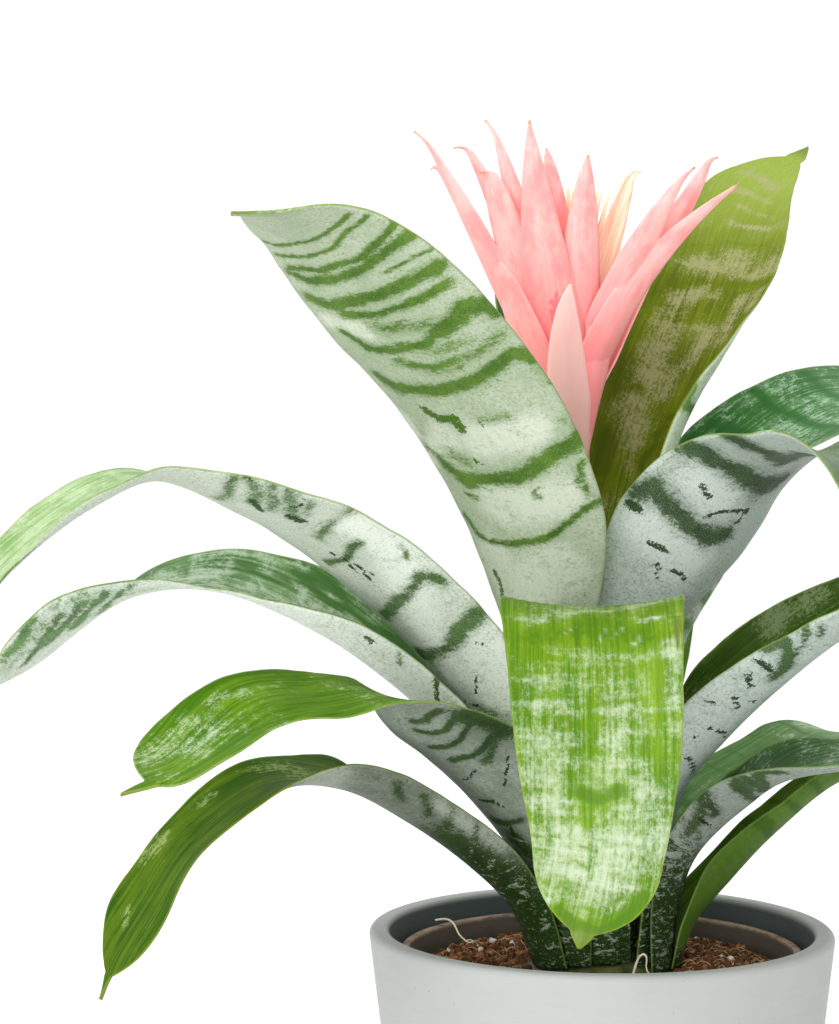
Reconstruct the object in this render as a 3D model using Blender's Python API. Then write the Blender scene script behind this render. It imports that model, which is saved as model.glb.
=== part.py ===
"""Potted aechmea: a silver-banded bromeliad with one pink flower head.

The plant stands in a plain nursery pot, which stands in a pale round planter.
The origin is the centre of the planter's underside, and +Z is up. The plant's
axis is the planter's axis, and the side that is shown most is the -Y side.
Every number below is in millimetres or degrees, and MM turns it into metres.
"""

import math

import bmesh
import bpy
import numpy as np
from mathutils import Vector

MM = 0.001
GAP = 0.3

# The planter: a thick round pot with a rounded rim, narrower below.
PLANTER_HEIGHT = 136.0
PLANTER_RIM_RADIUS = 75.0
PLANTER_WALL = 6.5
PLANTER_FLOOR = 8.0
PLANTER_TAPER = 0.119
PLANTER_RIM_ROUND = 2.6
PLANTER_FOOT_ROUND = 2.0
PLANTER_SIDES = 80

# The nursery pot: a standard 13 cm plastic pot with a lip.
NURSERY_RIM_RADIUS = 65.0
NURSERY_RIM_HEIGHT = 129.0
NURSERY_LIP_HEIGHT = 10.0
NURSERY_LIP_STEP = 2.6
NURSERY_FOOT_RADIUS = 45.0
NURSERY_WALL = 1.8
NURSERY_FLOOR = 2.0
NURSERY_LIP_ROUND = 0.8
NURSERY_INNER_ROUND = 0.6
NURSERY_SIDES = 64

# The soil and the short stem that the leaves grow from.
SOIL_EDGE_HEIGHT = 121.5
SOIL_MOUND_HEIGHT = 124.5
SOIL_MOUND_RADIUS = 38.0
SOIL_RISE_SHARES = (0.25, 0.5, 0.75)
SOIL_HOLE_CLEARANCE = 0.4
SOIL_HOLE_SLOPE = 3.0
SOIL_HOLE_DROPS = (0.6, 1.6)
SOIL_SIDES = 56
CROWN_RADIUS = 27.0
CROWN_TOP_HEIGHT = 134.6
CROWN_SLOPE = 0.5
CROWN_CENTRE_RADIUS = 6.8
CROWN_EDGE_HEIGHT = 119.8
CROWN_ROOT_RADIUS = 6.0
CROWN_ROOT_HEIGHT = 101.0
CROWN_SIDES = 40

# The leaves: one even thickness, and rows about this far apart.
LEAF_THICKNESS = 1.2
LEAF_ROW = 15.0
LEAF_ROW_CLOSING = 1.3
LEAF_COLUMNS = 6
PATH_SAMPLES = 241
PATH_STEP = 0.004

# The flower head: a round stem, a slim core and bracts in layers round it.
HEAD_X = -8.0
SCAPE_RADIUS = 4.5
SCAPE_FOOT_HEIGHT = 131.6
HEAD_NECK_HEIGHT = 290.0
HEAD_CORE_RADIUS = 9.0
HEAD_CORE_HEIGHT = 314.0
HEAD_TOP_RADIUS = 8.0
HEAD_TOP_HEIGHT = 338.0
HEAD_SIDES = 16
BRACT_THICKNESS = 1.0
BRACT_ROWS = 9
BRACT_FOOT_RADIUS = 3.5

# The tuft: a small core with slim florets that spread out of it, less towards
# the front, where the bracts stand close.
FLORET_FOOT = HEAD_TOP_HEIGHT + GAP
FLORET_CORE_RADIUS = 4.4
FLORET_CORE_HEIGHT = 9.0
FLORET_CORE_SHOULDER = (3.4, 5.4)
FLORET_CORE_SIDES = 14
FLORET_COUNT = 19
FLORET_TURN = 137.5
FLORET_LIFT = 2.5
FLORET_RING = 2.8
FLORET_SPREAD = 11.0
FLORET_FRONT = 0.35
FLORET_LENGTH = 37.0
FLORET_OUTER_SHORTER = 0.1
FLORET_RADIUS = 1.5
FLORET_TIP_RADIUS = 0.45
FLORET_SIDES = 5

# Each leaf follows stations from its foot to its tip. A station is the distance
# out from the axis, the height, the shift to the side, the roll, the radius of
# the hollow that the blade makes across, and the blade's half width on its left
# and on its right, as the leaf is seen from outside. "taper" is where along the
# leaf each side starts to round off to its end, "tip" is where the narrow point
# starts, and "blunt" is how round the end is. "width" sizes that point.
LEAVES = {
    "leaf_tall_left": dict(
        azimuth=237, width=60, taper=(0.76, 0.76),
        path=[(9, 131, 0, 0, 9, 9, 7.5), (12.6, 169.6, 1, -0.1, 12, 13.5, 6.8),
              (25.7, 215.5, 2, 2.6, 26, 26.7, 6.2), (49.7, 260.7, 2, -3, 50, 28.7, 25.5),
              (79.4, 294.6, 1, -1.6, 70, 29.8, 30.1), (114, 319.4, 0, 1.3, 80, 31.6, 29.3),
              (146.7, 340.5, 0, 0.8, 80, 31.2, 25.2), (171.3, 346.1, 0, 2.9, 60, 30.6, 27.6),
              (193.1, 344.4, 0, -2.4, 50, 29.9, 29.9)]),
    "leaf_tall_right": dict(
        azimuth=52, width=60, taper=(0.5, 0.68), tip=0.975, blunt=2.2,
        path=[(7, 132, 0, 0, 7, 7.5, 7.5), (9, 180, 0, 0, 9, 11.4, 11),
              (13.8, 230.1, 0, -0.1, 14, 21.3, 19.3), (28.1, 286.6, -1, -1.9, 17.4, 28, 25.7),
              (52.6, 324, -3, 2.2, 27, 28.3, 28.4), (80.6, 354.5, 0, 8.9, 45, 27.1, 28),
              (111.1, 387, 4, 18.7, 50, 27.1, 27.2), (143.8, 408.6, 0, 20.5, 50, 29.6, 30.6)]),
    "leaf_right_arching": dict(
        azimuth=312, width=62, taper=(0.74, 0.74),
        path=[(11.5, 131, 0, 0, 11.5, 7.8, 7.8), (15, 183, -2, -4, 15, 7.5, 8),
              (22.5, 229, -10, -18, 30, 15.5, 18), (43.5, 260, -6, -14, 56, 29, 27.8),
              (65, 282.6, 0, -3, 70, 31, 28.6), (86.3, 287.6, 0, 1.5, 70, 30, 28.8),
              (105.5, 282.2, -1.5, 1, 68, 32, 31), (120.5, 257, -1, 0.8, 60, 31, 31),
              (131, 228, 0, 0, 50, 31, 31)]),
    "leaf_right_behind": dict(
        azimuth=18, width=60, taper=(0.74, 0.74),
        path=[(13, 131, 0, 0, 13, 6, 7.5), (15, 195.1, 0, 0, 16, 6, 7.6),
              (25.1, 247.1, 0, 0.1, 30, 6, 10.7), (37.8, 273.4, 0, 6.3, 44, 16.2, 26.3),
              (56.7, 289.7, 0, 16.1, 57, 30, 30.3), (85.2, 305.5, 0, 19.4, 70, 30, 28),
              (113.5, 305.1, 0, 16.3, 80, 30, 31.5), (139.9, 286, 0, 10, 60, 30, 30.6),
              (160, 257.5, 0, 5, 50, 30, 29.9)]),
    "leaf_left_long": dict(
        azimuth=212, width=52, taper=(0.72, 0.72),
        path=[(14, 129, 0, 0, 14, 9.1, 10.4), (22.4, 164.8, 0, 4.1, 24, 9.4, 12.2),
              (40.6, 203.1, 0, 11.4, 36, 19.3, 20.1), (62.1, 231.7, 0, 12.7, 54, 26.5, 21.9),
              (92.7, 256.8, 0, 12.3, 72, 25.8, 22.2), (124.8, 271.2, 0, 4.7, 80, 26, 23.8),
              (156.5, 280, 0, 0.8, 74, 23.1, 19.3), (181.1, 271.1, 0, 2.5, 62, 25.2, 26.6),
              (205.4, 252.2, 0, 4.6, 50, 25.9, 26.6), (222.6, 228.9, 0, 4, 50, 26.1, 26.1)]),
    "leaf_left_twisted": dict(
        azimuth=188, width=50, taper=(0.8, 0.8),
        path=[(15.5, 128, 0, 0, 15, 9.5, 5.5), (25.8, 161.9, 0, 0, 19, 10.6, 5.5),
              (42.2, 191.7, 0, -3.9, 20, 22.3, 18.1), (62.8, 211.7, 0, -8.2, 21, 25.2, 23.9),
              (90.2, 233, 0, -16.8, 28, 27.3, 28.9), (120.6, 247, 0, -16, 42, 22.6, 20),
              (146, 245.6, 0, -0.4, 70, 24.2, 25.1), (170.7, 234.3, 0, 16.8, 80, 24.4, 24.1),
              (202.8, 210.5, 0, 22.7, 80, 24.6, 23.1)]),
    "leaf_left_blunt": dict(
        azimuth=222, width=42, taper=(0.82, 0.82), tip=0.955, blunt=3.2,
        path=[(19, 126, 0, 0, 19, 12.6, 11.6), (27.2, 156.1, 0, 1.1, 25, 20.9, 16.8),
              (52.2, 188.3, 0, 13.5, 35, 20.8, 22.7), (79, 205.6, 0, 9, 48, 17.1, 21.2),
              (93.8, 216.1, 0, -9.2, 60, 14.3, 17.5), (115.9, 215.7, 0, -18.5, 60, 18, 13.4),
              (139.1, 213.9, 0, -20.7, 60, 18.8, 10), (164.4, 200.7, 0, -0.3, 50, 25.1, 15.4),
              (185.7, 195.4, 0, -24.5, 50, 25.8, 25.9)]),
    "leaf_left_waved": dict(
        azimuth=200, width=40, taper=(0.78, 0.78), wave=2.2,
        path=[(21.7, 124.4, 0, 0, 21, 14, 14), (28.8, 142.6, 0, 5, 22, 16, 15),
              (43, 157.8, 0, 9.6, 27, 19.5, 19.2), (63, 172.9, 0, 12, 33, 20.2, 19.9),
              (88.7, 185.1, 0, 1.4, 38, 26.1, 25.7), (112.8, 186.1, 0, -5.6, 43, 17.9, 15.2),
              (136.4, 170.7, 0, -14.8, 54, 16.4, 15.1), (149.8, 151.8, 0, -14.6, 65, 17.2, 15.7),
              (159.4, 136.4, 0, -13.6, 60, 19.3, 23.1), (163.7, 125.1, 0, 0.4, 60, 20.2, 19.7)]),
    "leaf_front_hanging": dict(
        azimuth=264.5, width=52, taper=(0.9, 0.9), tip=0.985, blunt=2.8,
        path=[(17, 127, 0, 0, 17, 10.2, 10.2), (28, 170, 0, 0, 27, 10, 10),
              (46, 207.9, 0, 0, 44, 19.8, 19.8), (65.1, 235.4, -0.2, 0, 70, 25.5, 25.4),
              (88.3, 242.9, -1.2, 0.9, 97, 26.5, 26.1), (106.2, 230.4, -0.2, 0, 97, 24.8, 24.3),
              (118.1, 204.9, 0.5, 0, 95, 22.1, 22.7), (124.8, 178.8, 0.3, 0, 80, 17.3, 18),
              (128, 155, -4.3, 0, 70, 14.8, 15)]),
    "leaf_right_folded": dict(
        azimuth=332, width=58, taper=(0.74, 0.74),
        path=[(19, 126, 0, 0, 19, 10.1, 8.7), (21.8, 155.1, 0, 5, 20, 11.4, 8.7),
              (28.3, 181.4, 0, 14.9, 20, 25.7, 17.4), (42, 198.8, 0, 20.1, 19, 29.9, 29.1),
              (61, 217.4, 0, 21.1, 21, 30.2, 29.5), (83.1, 234.6, 0, 19.1, 26, 26.9, 25.6),
              (108.5, 247, 0, 12.2, 37, 26.8, 24.4), (136.4, 243.7, 0, 5.2, 44, 27.3, 24.9),
              (160.5, 225.9, 0, 2.3, 50, 28, 25.9)]),
    "leaf_right_low": dict(
        azimuth=340, width=46, taper=(0.74, 0.74),
        path=[(23, 124, 0, 0, 20, 11.5, 11.5), (25, 143, 0, 0.6, 18, 14, 13),
              (31.5, 161, 0, 2.8, 19, 19, 20), (47.4, 177.3, 0, 3.3, 24, 25, 23.3),
              (66, 190.2, 0, 16.8, 32, 26.2, 16.1), (97.3, 194.1, 0, 15.3, 43, 22.1, 7),
              (132.6, 185.7, 0, 10.5, 52, 20.2, 6.3), (161.3, 166, 0, 4.3, 50, 18.8, 7.9)]),
    "leaf_right_back_low": dict(
        azimuth=28, width=44, taper=(0.74, 0.74),
        path=[(21, 125, 0, 0, 21, 5, 11), (26, 148, 0, 0, 22, 5, 15.4), (37, 167, 0, 0, 28, 7.1, 21.6),
              (51, 177, 0, 0, 40, 18.2, 22), (70, 185.5, 0, 0, 57, 22, 22),
              (92, 194, 0, 0, 60, 22, 22), (110, 188, 0, 0, 60, 22, 22)]),
    "leaf_right_lowest": dict(
        azimuth=3, width=42, taper=(0.74, 0.74),
        path=[(25, 123, 0, 0, 20, 12.6, 12.6), (30.3, 137.4, 0, 0.3, 17, 15, 15.4),
              (41.6, 150.5, 0, -3.5, 16, 20, 16), (56.7, 166.8, 0, 1.3, 18, 20.2, 14.2),
              (77.5, 183, 0, -1.2, 25, 20, 14.7), (102.1, 190.1, 0, -0.7, 35, 20.3, 15),
              (126.3, 186.7, 0, 3, 45, 20.7, 17.4), (144.1, 174.2, 0, 5.8, 50, 21.1, 20.4)]),
    "leaf_back_tall": dict(
        azimuth=96, width=50, taper=(0.78, 0.78), blunt=3.0,
        path=[(9, 131, 0, 0, 9, 7, 8.2), (13, 175, 0, 0, 13, 7, 8.2), (21, 225, 0, 0, 22, 7, 13.1),
              (37, 275, 0, 0, 40, 15.1, 23.7), (58, 320, 0, 0, 53, 25, 25),
              (80, 355, 1, 0, 64, 25, 25), (104, 386, 3, 0, 60, 25, 25)]),
    "leaf_right_inner": dict(
        azimuth=11, width=31, taper=(0.7, 0.7),
        path=[(15, 130, 0, 0, 15, 5.9, 5.9), (16.9, 169.8, 0, 0, 17, 6, 6.1),
              (18.8, 201.9, 0, 0.2, 18, 11.9, 12), (27.2, 228.4, 0, 1.4, 18, 15.6, 15.5),
              (39.9, 249.7, 0, 2.2, 18, 15.5, 15.5), (52.6, 269.6, 0, 2.6, 20, 15.3, 15.5),
              (64.6, 288.1, 0, 2.3, 24, 15, 15.5)]),
    "leaf_back_right": dict(
        azimuth=75, width=54, taper=(0.74, 0.74),
        path=[(17, 129, 0, 0, 17, 10.2, 10.2), (22, 170, 0, 0, 22, 15.7, 15.7),
              (36, 213, 0, 0, 35, 26.6, 26.6), (58, 246, 0, 0, 51, 27, 27),
              (90, 264, 0, 0, 61, 27, 27), (126, 260, 0, 0, 67, 27, 27), (155, 238, 0, 0, 60, 27, 27)]),
    "leaf_back_left": dict(
        azimuth=131, width=38, taper=(0.74, 0.74),
        path=[(17, 127, 0, 0, 17, 4.5, 4.5), (21, 150, 0, 0, 19, 6.6, 4.3),
              (30, 175, 0, 0, 27, 18.8, 6.2), (46, 193, 0, 0, 37, 19, 15.1),
              (66, 204, 0, 0, 52, 19, 19), (86, 209, 0, 0, 41, 19, 19), (100, 207, 0, 0, 40, 19, 19)]),
}
LEAF_DEFAULTS = dict(tip=0.965, blunt=2.2, wave=0.0)
LEAF_ROUNDNESS = 0.7
LEAF_POINT = 0.11
LEAF_POINT_END = 0.012
WAVE_COUNT = 4.0
WAVE_EDGE = 2.5
WAVE_START = (0.35, 0.6)

# Each bract follows a curve from its foot on the stem to its tip. A row holds
# the tip, the point that pulls the curve, the height of the foot, the width,
# how slim the bract is towards its tip, the way that its outer side faces, as
# degrees round the stem, and how far its dry tip hooks outwards. The last six
# fill the back of the head.
BRACTS = [
    ((-59, -8, 394), (-42, -7, 367), 300, 11, 1.7, 225, 1.5),
    ((-54, 8, 384), (-52, 7, 389), 300, 10, 1.5, 200, 1),
    ((-45, 6, 392), (-36, 4, 383), 305, 11, 1.5, 215, 2.5),
    ((-37, -13, 381), (-34, -14, 370), 298, 14, 0.9, 240, 3),
    ((-36, -5, 398), (-27, -12, 369), 305, 11, 1.6, 255, 1.5),
    ((-24, -20, 394), (-22, -22, 357), 300, 17.5, 1.15, 262, 0),
    ((-18, -9, 387), (-16, -18, 374), 310, 11, 1.1, 290, 0),
    ((-5, -14, 384), (-8, -21, 362), 310, 14, 1.05, 278, 0),
    ((13, 16, 386), (7, 22, 371), 318, 9.5, 1.1, 95, 2.5),
    ((28, -14, 381), (10, -22, 358), 310, 14, 1.5, 292, 1),
    ((36, -2, 387), (31, -10, 373), 318, 10, 1.3, 300, 2),
    ((44, -8, 376), (2, -21, 346), 305, 13, 1.3, 305, 0),
    ((-12, -33, 341), (-14, -28, 327), 287, 14.5, 0.75, 268, 0),
    ((-34, -18, 350), (-29, -18, 337), 290, 13, 0.8, 235, 0),
    ((12, -8, 343), (-2, -14, 340), 292, 12, 0.8, 300, 0),
    ((-34, 30, 356), (-20, 12, 328), 300, 13, 1.0, 150, 1),
    ((-20, 40, 362), (-13, 17, 330), 298, 13, 1.0, 110, 1),
    ((6, 38, 360), (-2, 17, 330), 300, 13, 1.0, 75, 1),
    ((26, 26, 362), (7, 11, 333), 304, 13, 1.0, 40, 1),
    ((-26, 25, 364), (-17, 11, 336), 308, 12, 1.2, 140, 1),
    ((0, 26, 372), (-4, 12, 341), 310, 12, 1.2, 60, 1),
]
BRACT_CURVE = 2.2
BRACT_FOOT_SHARE = 0.55
BRACT_FOOT_GROWTH = 1.8
BRACT_HOLLOW = 0.35
BRACT_TIP_HALF = 0.45
BRACT_HOOK_START = 0.9
BRACT_HOOK_DROP = 0.8


def clear_scene():
    for old in list(bpy.data.objects):
        bpy.data.objects.remove(old, do_unlink=True)


def material(name, colour, roughness):
    made = bpy.data.materials.new(name)
    made.use_nodes = True
    shader = made.node_tree.nodes["Principled BSDF"]
    shader.inputs["Base Color"].default_value = (*colour, 1.0)
    shader.inputs["Roughness"].default_value = roughness
    shader.inputs["Metallic"].default_value = 0.0
    return made


def add_object(name, bm, look=None):
    """Make an object of the bmesh, which is in millimetres."""
    bmesh.ops.scale(bm, vec=(MM, MM, MM), verts=bm.verts)
    bmesh.ops.recalc_face_normals(bm, faces=bm.faces)
    mesh = bpy.data.meshes.new(name)
    bm.to_mesh(mesh)
    bm.free()
    mesh.shade_smooth()
    mesh.set_sharp_from_angle(angle=math.radians(40))
    made = bpy.data.objects.new(name, mesh)
    bpy.context.scene.collection.objects.link(made)
    if look:
        mesh.materials.append(look)
    return made


def quarter(radius, height, size, first, last, steps=3):
    """Points of a rounded edge about a centre, as (radius, height) pairs."""
    turns = np.radians(np.linspace(first, last, steps + 1))
    return [(radius + size * math.cos(a), height + size * math.sin(a)) for a in turns]


def lathe(name, profile, sides, look):
    """Turn a profile of (radius, height) pairs, from the axis round to the axis."""
    bm = bmesh.new()
    verts = [bm.verts.new((r, 0.0, z)) for r, z in profile]
    edges = [bm.edges.new(pair) for pair in zip(verts, verts[1:])]
    bmesh.ops.spin(bm, geom=verts + edges, cent=(0, 0, 0), axis=(0, 0, 1), angle=2 * math.pi,
                   steps=sides, use_merge=True)
    bmesh.ops.remove_doubles(bm, verts=bm.verts, dist=0.01)
    return add_object(name, bm, look)


def through(values, share):
    """A smooth curve through evenly spaced values, read at shares from 0 to 1."""
    v = np.asarray(values, float)
    last = len(v) - 1
    v = np.concatenate([[2 * v[0] - v[1]], v, [2 * v[-1] - v[-2]]])
    place = np.clip(share * last, 0, last - 1e-9)
    i = place.astype(int)
    f = (place - i)[:, None]
    a, b, c, d = v[i], v[i + 1], v[i + 2], v[i + 3]
    return 0.5 * (2 * b + (c - a) * f + (2 * a - 5 * b + 4 * c - d) * f**2 + (3 * b - a - 3 * c + d) * f**3)


def ease(first, last, x):
    x = np.clip((x - first) / (last - first), 0, 1)
    return x * x * (3 - 2 * x)


def rounded_ends(leaf, u, sides):
    """The half widths of both sides, narrowed to the blade's end and its small point."""
    tip = leaf["tip"]
    narrowed = []
    for body, taper in zip(sides, leaf["taper"]):
        x = np.clip((u - taper) / (tip - taper), 0, 1)
        rounded = (1 - x ** leaf["blunt"]) ** LEAF_ROUNDNESS
        point = LEAF_POINT * np.clip((1 - u) / (1 - tip), 0, 1) + LEAF_POINT_END
        narrowed.append(np.maximum(body * rounded, leaf["width"] / 2 * point * ease(taper, tip, u)))
    return narrowed


def leaf_frame(leaf, u):
    """Midrib, directions across and over the blade, hollow and half widths, at shares u."""
    path = np.array(leaf["path"], float)
    fine = np.linspace(0, 1, PATH_SAMPLES)
    steps = np.linalg.norm(np.diff(through(path[:, :3], fine), axis=0), axis=1)
    length = np.concatenate([[0], np.cumsum(steps)])
    t = np.interp(u * length[-1], length, fine)
    turn = math.radians(leaf["azimuth"])
    out = np.array([math.cos(turn), math.sin(turn), 0])
    side = np.array([-math.sin(turn), math.cos(turn), 0])
    axes = np.array([out, (0, 0, 1), side])
    centre = through(path[:, :3], t) @ axes
    ahead = through(path[:, :3], np.clip(t + PATH_STEP, 0, 1)) @ axes
    behind = through(path[:, :3], np.clip(t - PATH_STEP, 0, 1)) @ axes
    along = ahead - behind
    along /= np.linalg.norm(along, axis=1)[:, None]
    across = side - (along @ side)[:, None] * along
    across /= np.linalg.norm(across, axis=1)[:, None]
    over = np.cross(along, across)
    roll, hollow, left, right = through(path[:, 3:], t).T
    c, s = np.cos(np.radians(roll))[:, None], np.sin(np.radians(roll))[:, None]
    sides = rounded_ends(leaf, u, (left, right))
    return centre, across * c + over * s, over * c - across * s, hollow, sides


def leaf_length(leaf):
    points = through([station[:3] for station in leaf["path"]], np.linspace(0, 1, PATH_SAMPLES))
    return float(np.linalg.norm(np.diff(points, axis=0), axis=1).sum())


def leaf_points(leaf, u, v):
    """Points of the blade: u runs from foot to tip, v from -1 to 1 across."""
    centre, across, over, hollow, (left, right) = leaf_frame(leaf, u)
    turn = np.where(v < 0, left, right) * v / hollow
    x = hollow * np.sin(turn)
    y = hollow * (1 - np.cos(turn))
    width = np.minimum(1, (left + right) / leaf["width"])
    wave = leaf["wave"] * ease(*WAVE_START, u) * width**2 * np.abs(v) ** WAVE_EDGE
    y = y + wave * np.sin(2 * math.pi * (WAVE_COUNT * u + 0.25 * np.sign(v)))
    return centre + across * x[:, None] + over * y[:, None]


def make_leaf(name, leaf, look):
    """A blade whose rows lie closer together towards its tip."""
    leaf = LEAF_DEFAULTS | leaf
    rows = max(9, round(leaf_length(leaf) / LEAF_ROW))
    bm = bmesh.new()
    bmesh.ops.create_grid(bm, x_segments=rows, y_segments=LEAF_COLUMNS, size=1.0)
    flat = np.array([vert.co for vert in bm.verts])
    u = 1 - ((1 - flat[:, 0]) / 2) ** LEAF_ROW_CLOSING
    for vert, place in zip(bm.verts, leaf_points(leaf, u, flat[:, 1])):
        vert.co = place
    bmesh.ops.triangulate(bm, faces=bm.faces)
    made = add_object(name, bm, look)
    thicken(made, LEAF_THICKNESS)
    return made


def thicken(made, thickness):
    solid = made.modifiers.new("thickness", "SOLIDIFY")
    solid.thickness = thickness * MM
    solid.offset = 0.0


def make_planter():
    slope = PLANTER_TAPER
    lean = math.degrees(math.atan(slope))
    top = PLANTER_HEIGHT - PLANTER_RIM_ROUND
    foot = PLANTER_RIM_RADIUS - slope * PLANTER_HEIGHT
    inner_rim = PLANTER_RIM_RADIUS - PLANTER_WALL
    inner_foot = inner_rim - slope * (PLANTER_HEIGHT - PLANTER_FLOOR)
    profile = [(0, 0)]
    profile += quarter(foot - PLANTER_FOOT_ROUND, PLANTER_FOOT_ROUND, PLANTER_FOOT_ROUND, -90, -lean)
    profile += quarter(PLANTER_RIM_RADIUS - PLANTER_RIM_ROUND, top, PLANTER_RIM_ROUND, -lean, 90)
    profile += quarter(inner_rim + PLANTER_RIM_ROUND, top, PLANTER_RIM_ROUND, 90, 180 - lean)
    profile += [(inner_foot, PLANTER_FLOOR), (0, PLANTER_FLOOR)]
    grey = material("planter_grey", (0.66, 0.66, 0.63), 0.6)
    return lathe("planter", profile, PLANTER_SIDES, grey)


def nursery_inner(height):
    """Inside radius of the nursery pot at a height."""
    wall_top = NURSERY_RIM_HEIGHT - NURSERY_LIP_HEIGHT
    shoulder = NURSERY_RIM_RADIUS - NURSERY_LIP_STEP
    foot_height = PLANTER_FLOOR + GAP
    share = (height - foot_height) / (wall_top - foot_height)
    return NURSERY_FOOT_RADIUS + (shoulder - NURSERY_FOOT_RADIUS) * share - NURSERY_WALL


def make_nursery_pot():
    foot_height = PLANTER_FLOOR + GAP
    wall_top = NURSERY_RIM_HEIGHT - NURSERY_LIP_HEIGHT
    floor = foot_height + NURSERY_FLOOR
    shoulder = NURSERY_RIM_RADIUS - NURSERY_LIP_STEP
    rim_inner = nursery_inner(NURSERY_RIM_HEIGHT)
    profile = [
        (0, foot_height),
        (NURSERY_FOOT_RADIUS, foot_height),
        (shoulder, wall_top),
        (NURSERY_RIM_RADIUS - NURSERY_LIP_ROUND, wall_top),
        (NURSERY_RIM_RADIUS, NURSERY_RIM_HEIGHT - NURSERY_LIP_ROUND),
        (NURSERY_RIM_RADIUS - NURSERY_LIP_ROUND, NURSERY_RIM_HEIGHT),
        (rim_inner + NURSERY_INNER_ROUND, NURSERY_RIM_HEIGHT),
        (rim_inner, NURSERY_RIM_HEIGHT - NURSERY_INNER_ROUND),
        (nursery_inner(floor), floor),
        (0, floor),
    ]
    brown = material("nursery_brown", (0.16, 0.13, 0.11), 0.7)
    return lathe("nursery_pot", profile, NURSERY_SIDES, brown)


def make_soil():
    foot = PLANTER_FLOOR + GAP + NURSERY_FLOOR + GAP
    ledge = CROWN_EDGE_HEIGHT - GAP
    hole = CROWN_RADIUS + SOIL_HOLE_CLEARANCE
    root = CROWN_ROOT_RADIUS + SOIL_HOLE_CLEARANCE
    edge = nursery_inner(SOIL_EDGE_HEIGHT) - GAP
    profile = [(0, foot), (nursery_inner(foot) - 2 * GAP, foot), (edge, SOIL_EDGE_HEIGHT)]
    for share in SOIL_RISE_SHARES:
        rise = math.sin(share * math.pi / 2)
        radius = edge + (SOIL_MOUND_RADIUS - edge) * share
        profile.append((radius, SOIL_EDGE_HEIGHT + (SOIL_MOUND_HEIGHT - SOIL_EDGE_HEIGHT) * rise))
    profile += [
        (SOIL_MOUND_RADIUS, SOIL_MOUND_HEIGHT),
        (hole + SOIL_HOLE_SLOPE, SOIL_MOUND_HEIGHT - SOIL_HOLE_DROPS[0]),
        (hole, SOIL_MOUND_HEIGHT - SOIL_HOLE_DROPS[1]),
        (hole, ledge),
        (root, ledge),
        (root, CROWN_ROOT_HEIGHT - GAP),
        (0, CROWN_ROOT_HEIGHT - GAP),
    ]
    return lathe("soil", profile, SOIL_SIDES, material("soil_brown", (0.12, 0.06, 0.035), 0.95))


def make_crown():
    """The short stem: leaves stand round its slope, and the flower's stem on its middle."""
    profile = [
        (0, CROWN_ROOT_HEIGHT),
        (CROWN_ROOT_RADIUS, CROWN_ROOT_HEIGHT),
        (CROWN_ROOT_RADIUS, CROWN_EDGE_HEIGHT),
        (CROWN_RADIUS, CROWN_EDGE_HEIGHT),
        (CROWN_RADIUS, CROWN_TOP_HEIGHT - CROWN_SLOPE * CROWN_RADIUS),
        (CROWN_CENTRE_RADIUS, CROWN_TOP_HEIGHT - CROWN_SLOPE * CROWN_CENTRE_RADIUS),
        (0, CROWN_TOP_HEIGHT - CROWN_SLOPE * CROWN_CENTRE_RADIUS),
    ]
    return lathe("crown", profile, CROWN_SIDES, material("crown_green", (0.08, 0.12, 0.04), 0.6))


def make_bract(name, tip, pull, height, width, slim, face, hook):
    """One pointed bract, hollow towards the stem, from inside the core to its tip."""
    tip, pull = Vector(tip), Vector(pull)
    out = Vector((math.cos(math.radians(face)), math.sin(math.radians(face)), 0))
    foot = Vector((HEAD_X, 0, height)) + out * BRACT_FOOT_RADIUS
    away = Vector((tip.x - HEAD_X, tip.y, 0)).normalized() - Vector((0, 0, BRACT_HOOK_DROP))
    bm = bmesh.new()
    bmesh.ops.create_grid(bm, x_segments=BRACT_ROWS, y_segments=2, size=1.0)
    for vert in bm.verts:
        u, v = (vert.co.x + 1) / 2, vert.co.y
        place = foot * (1 - u) ** 2 + pull * 2 * u * (1 - u) + tip * u**2
        ahead = ((pull - foot) * (1 - u) + (tip - pull) * u).normalized()
        side = ahead.cross(out).normalized()
        over = ahead.cross(side)
        grown = min(1, BRACT_FOOT_SHARE + BRACT_FOOT_GROWTH * u)
        half = width / 2 * grown * (1 - u**BRACT_CURVE) ** slim + BRACT_TIP_HALF
        bend = max(0.0, (u - BRACT_HOOK_START) / (1 - BRACT_HOOK_START)) ** 2
        hollow = over * (BRACT_HOLLOW * half * (v * v - 0.5))
        vert.co = place + side * (v * half) + hollow + away * (hook * bend)
    bmesh.ops.triangulate(bm, faces=bm.faces)
    made = add_object(name, bm)
    thicken(made, BRACT_THICKNESS)
    return made


def fill_hollows(mesh):
    """Drop the shells of hollows that the union has closed off, so it is solid there."""
    bm = bmesh.new()
    bm.from_mesh(mesh)
    left = set(bm.faces)
    shells = []
    while left:
        shell, ahead = [], [left.pop()]
        while ahead:
            face = ahead.pop()
            shell.append(face)
            for edge in face.edges:
                for other in edge.link_faces:
                    if len(edge.link_faces) == 2 and other in left:
                        left.remove(other)
                        ahead.append(other)
        shells.append(shell)
    shells.sort(key=len)
    for shell in shells[:-1]:
        bmesh.ops.delete(bm, geom=shell, context="FACES")
    bm.to_mesh(mesh)
    bm.free()


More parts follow.
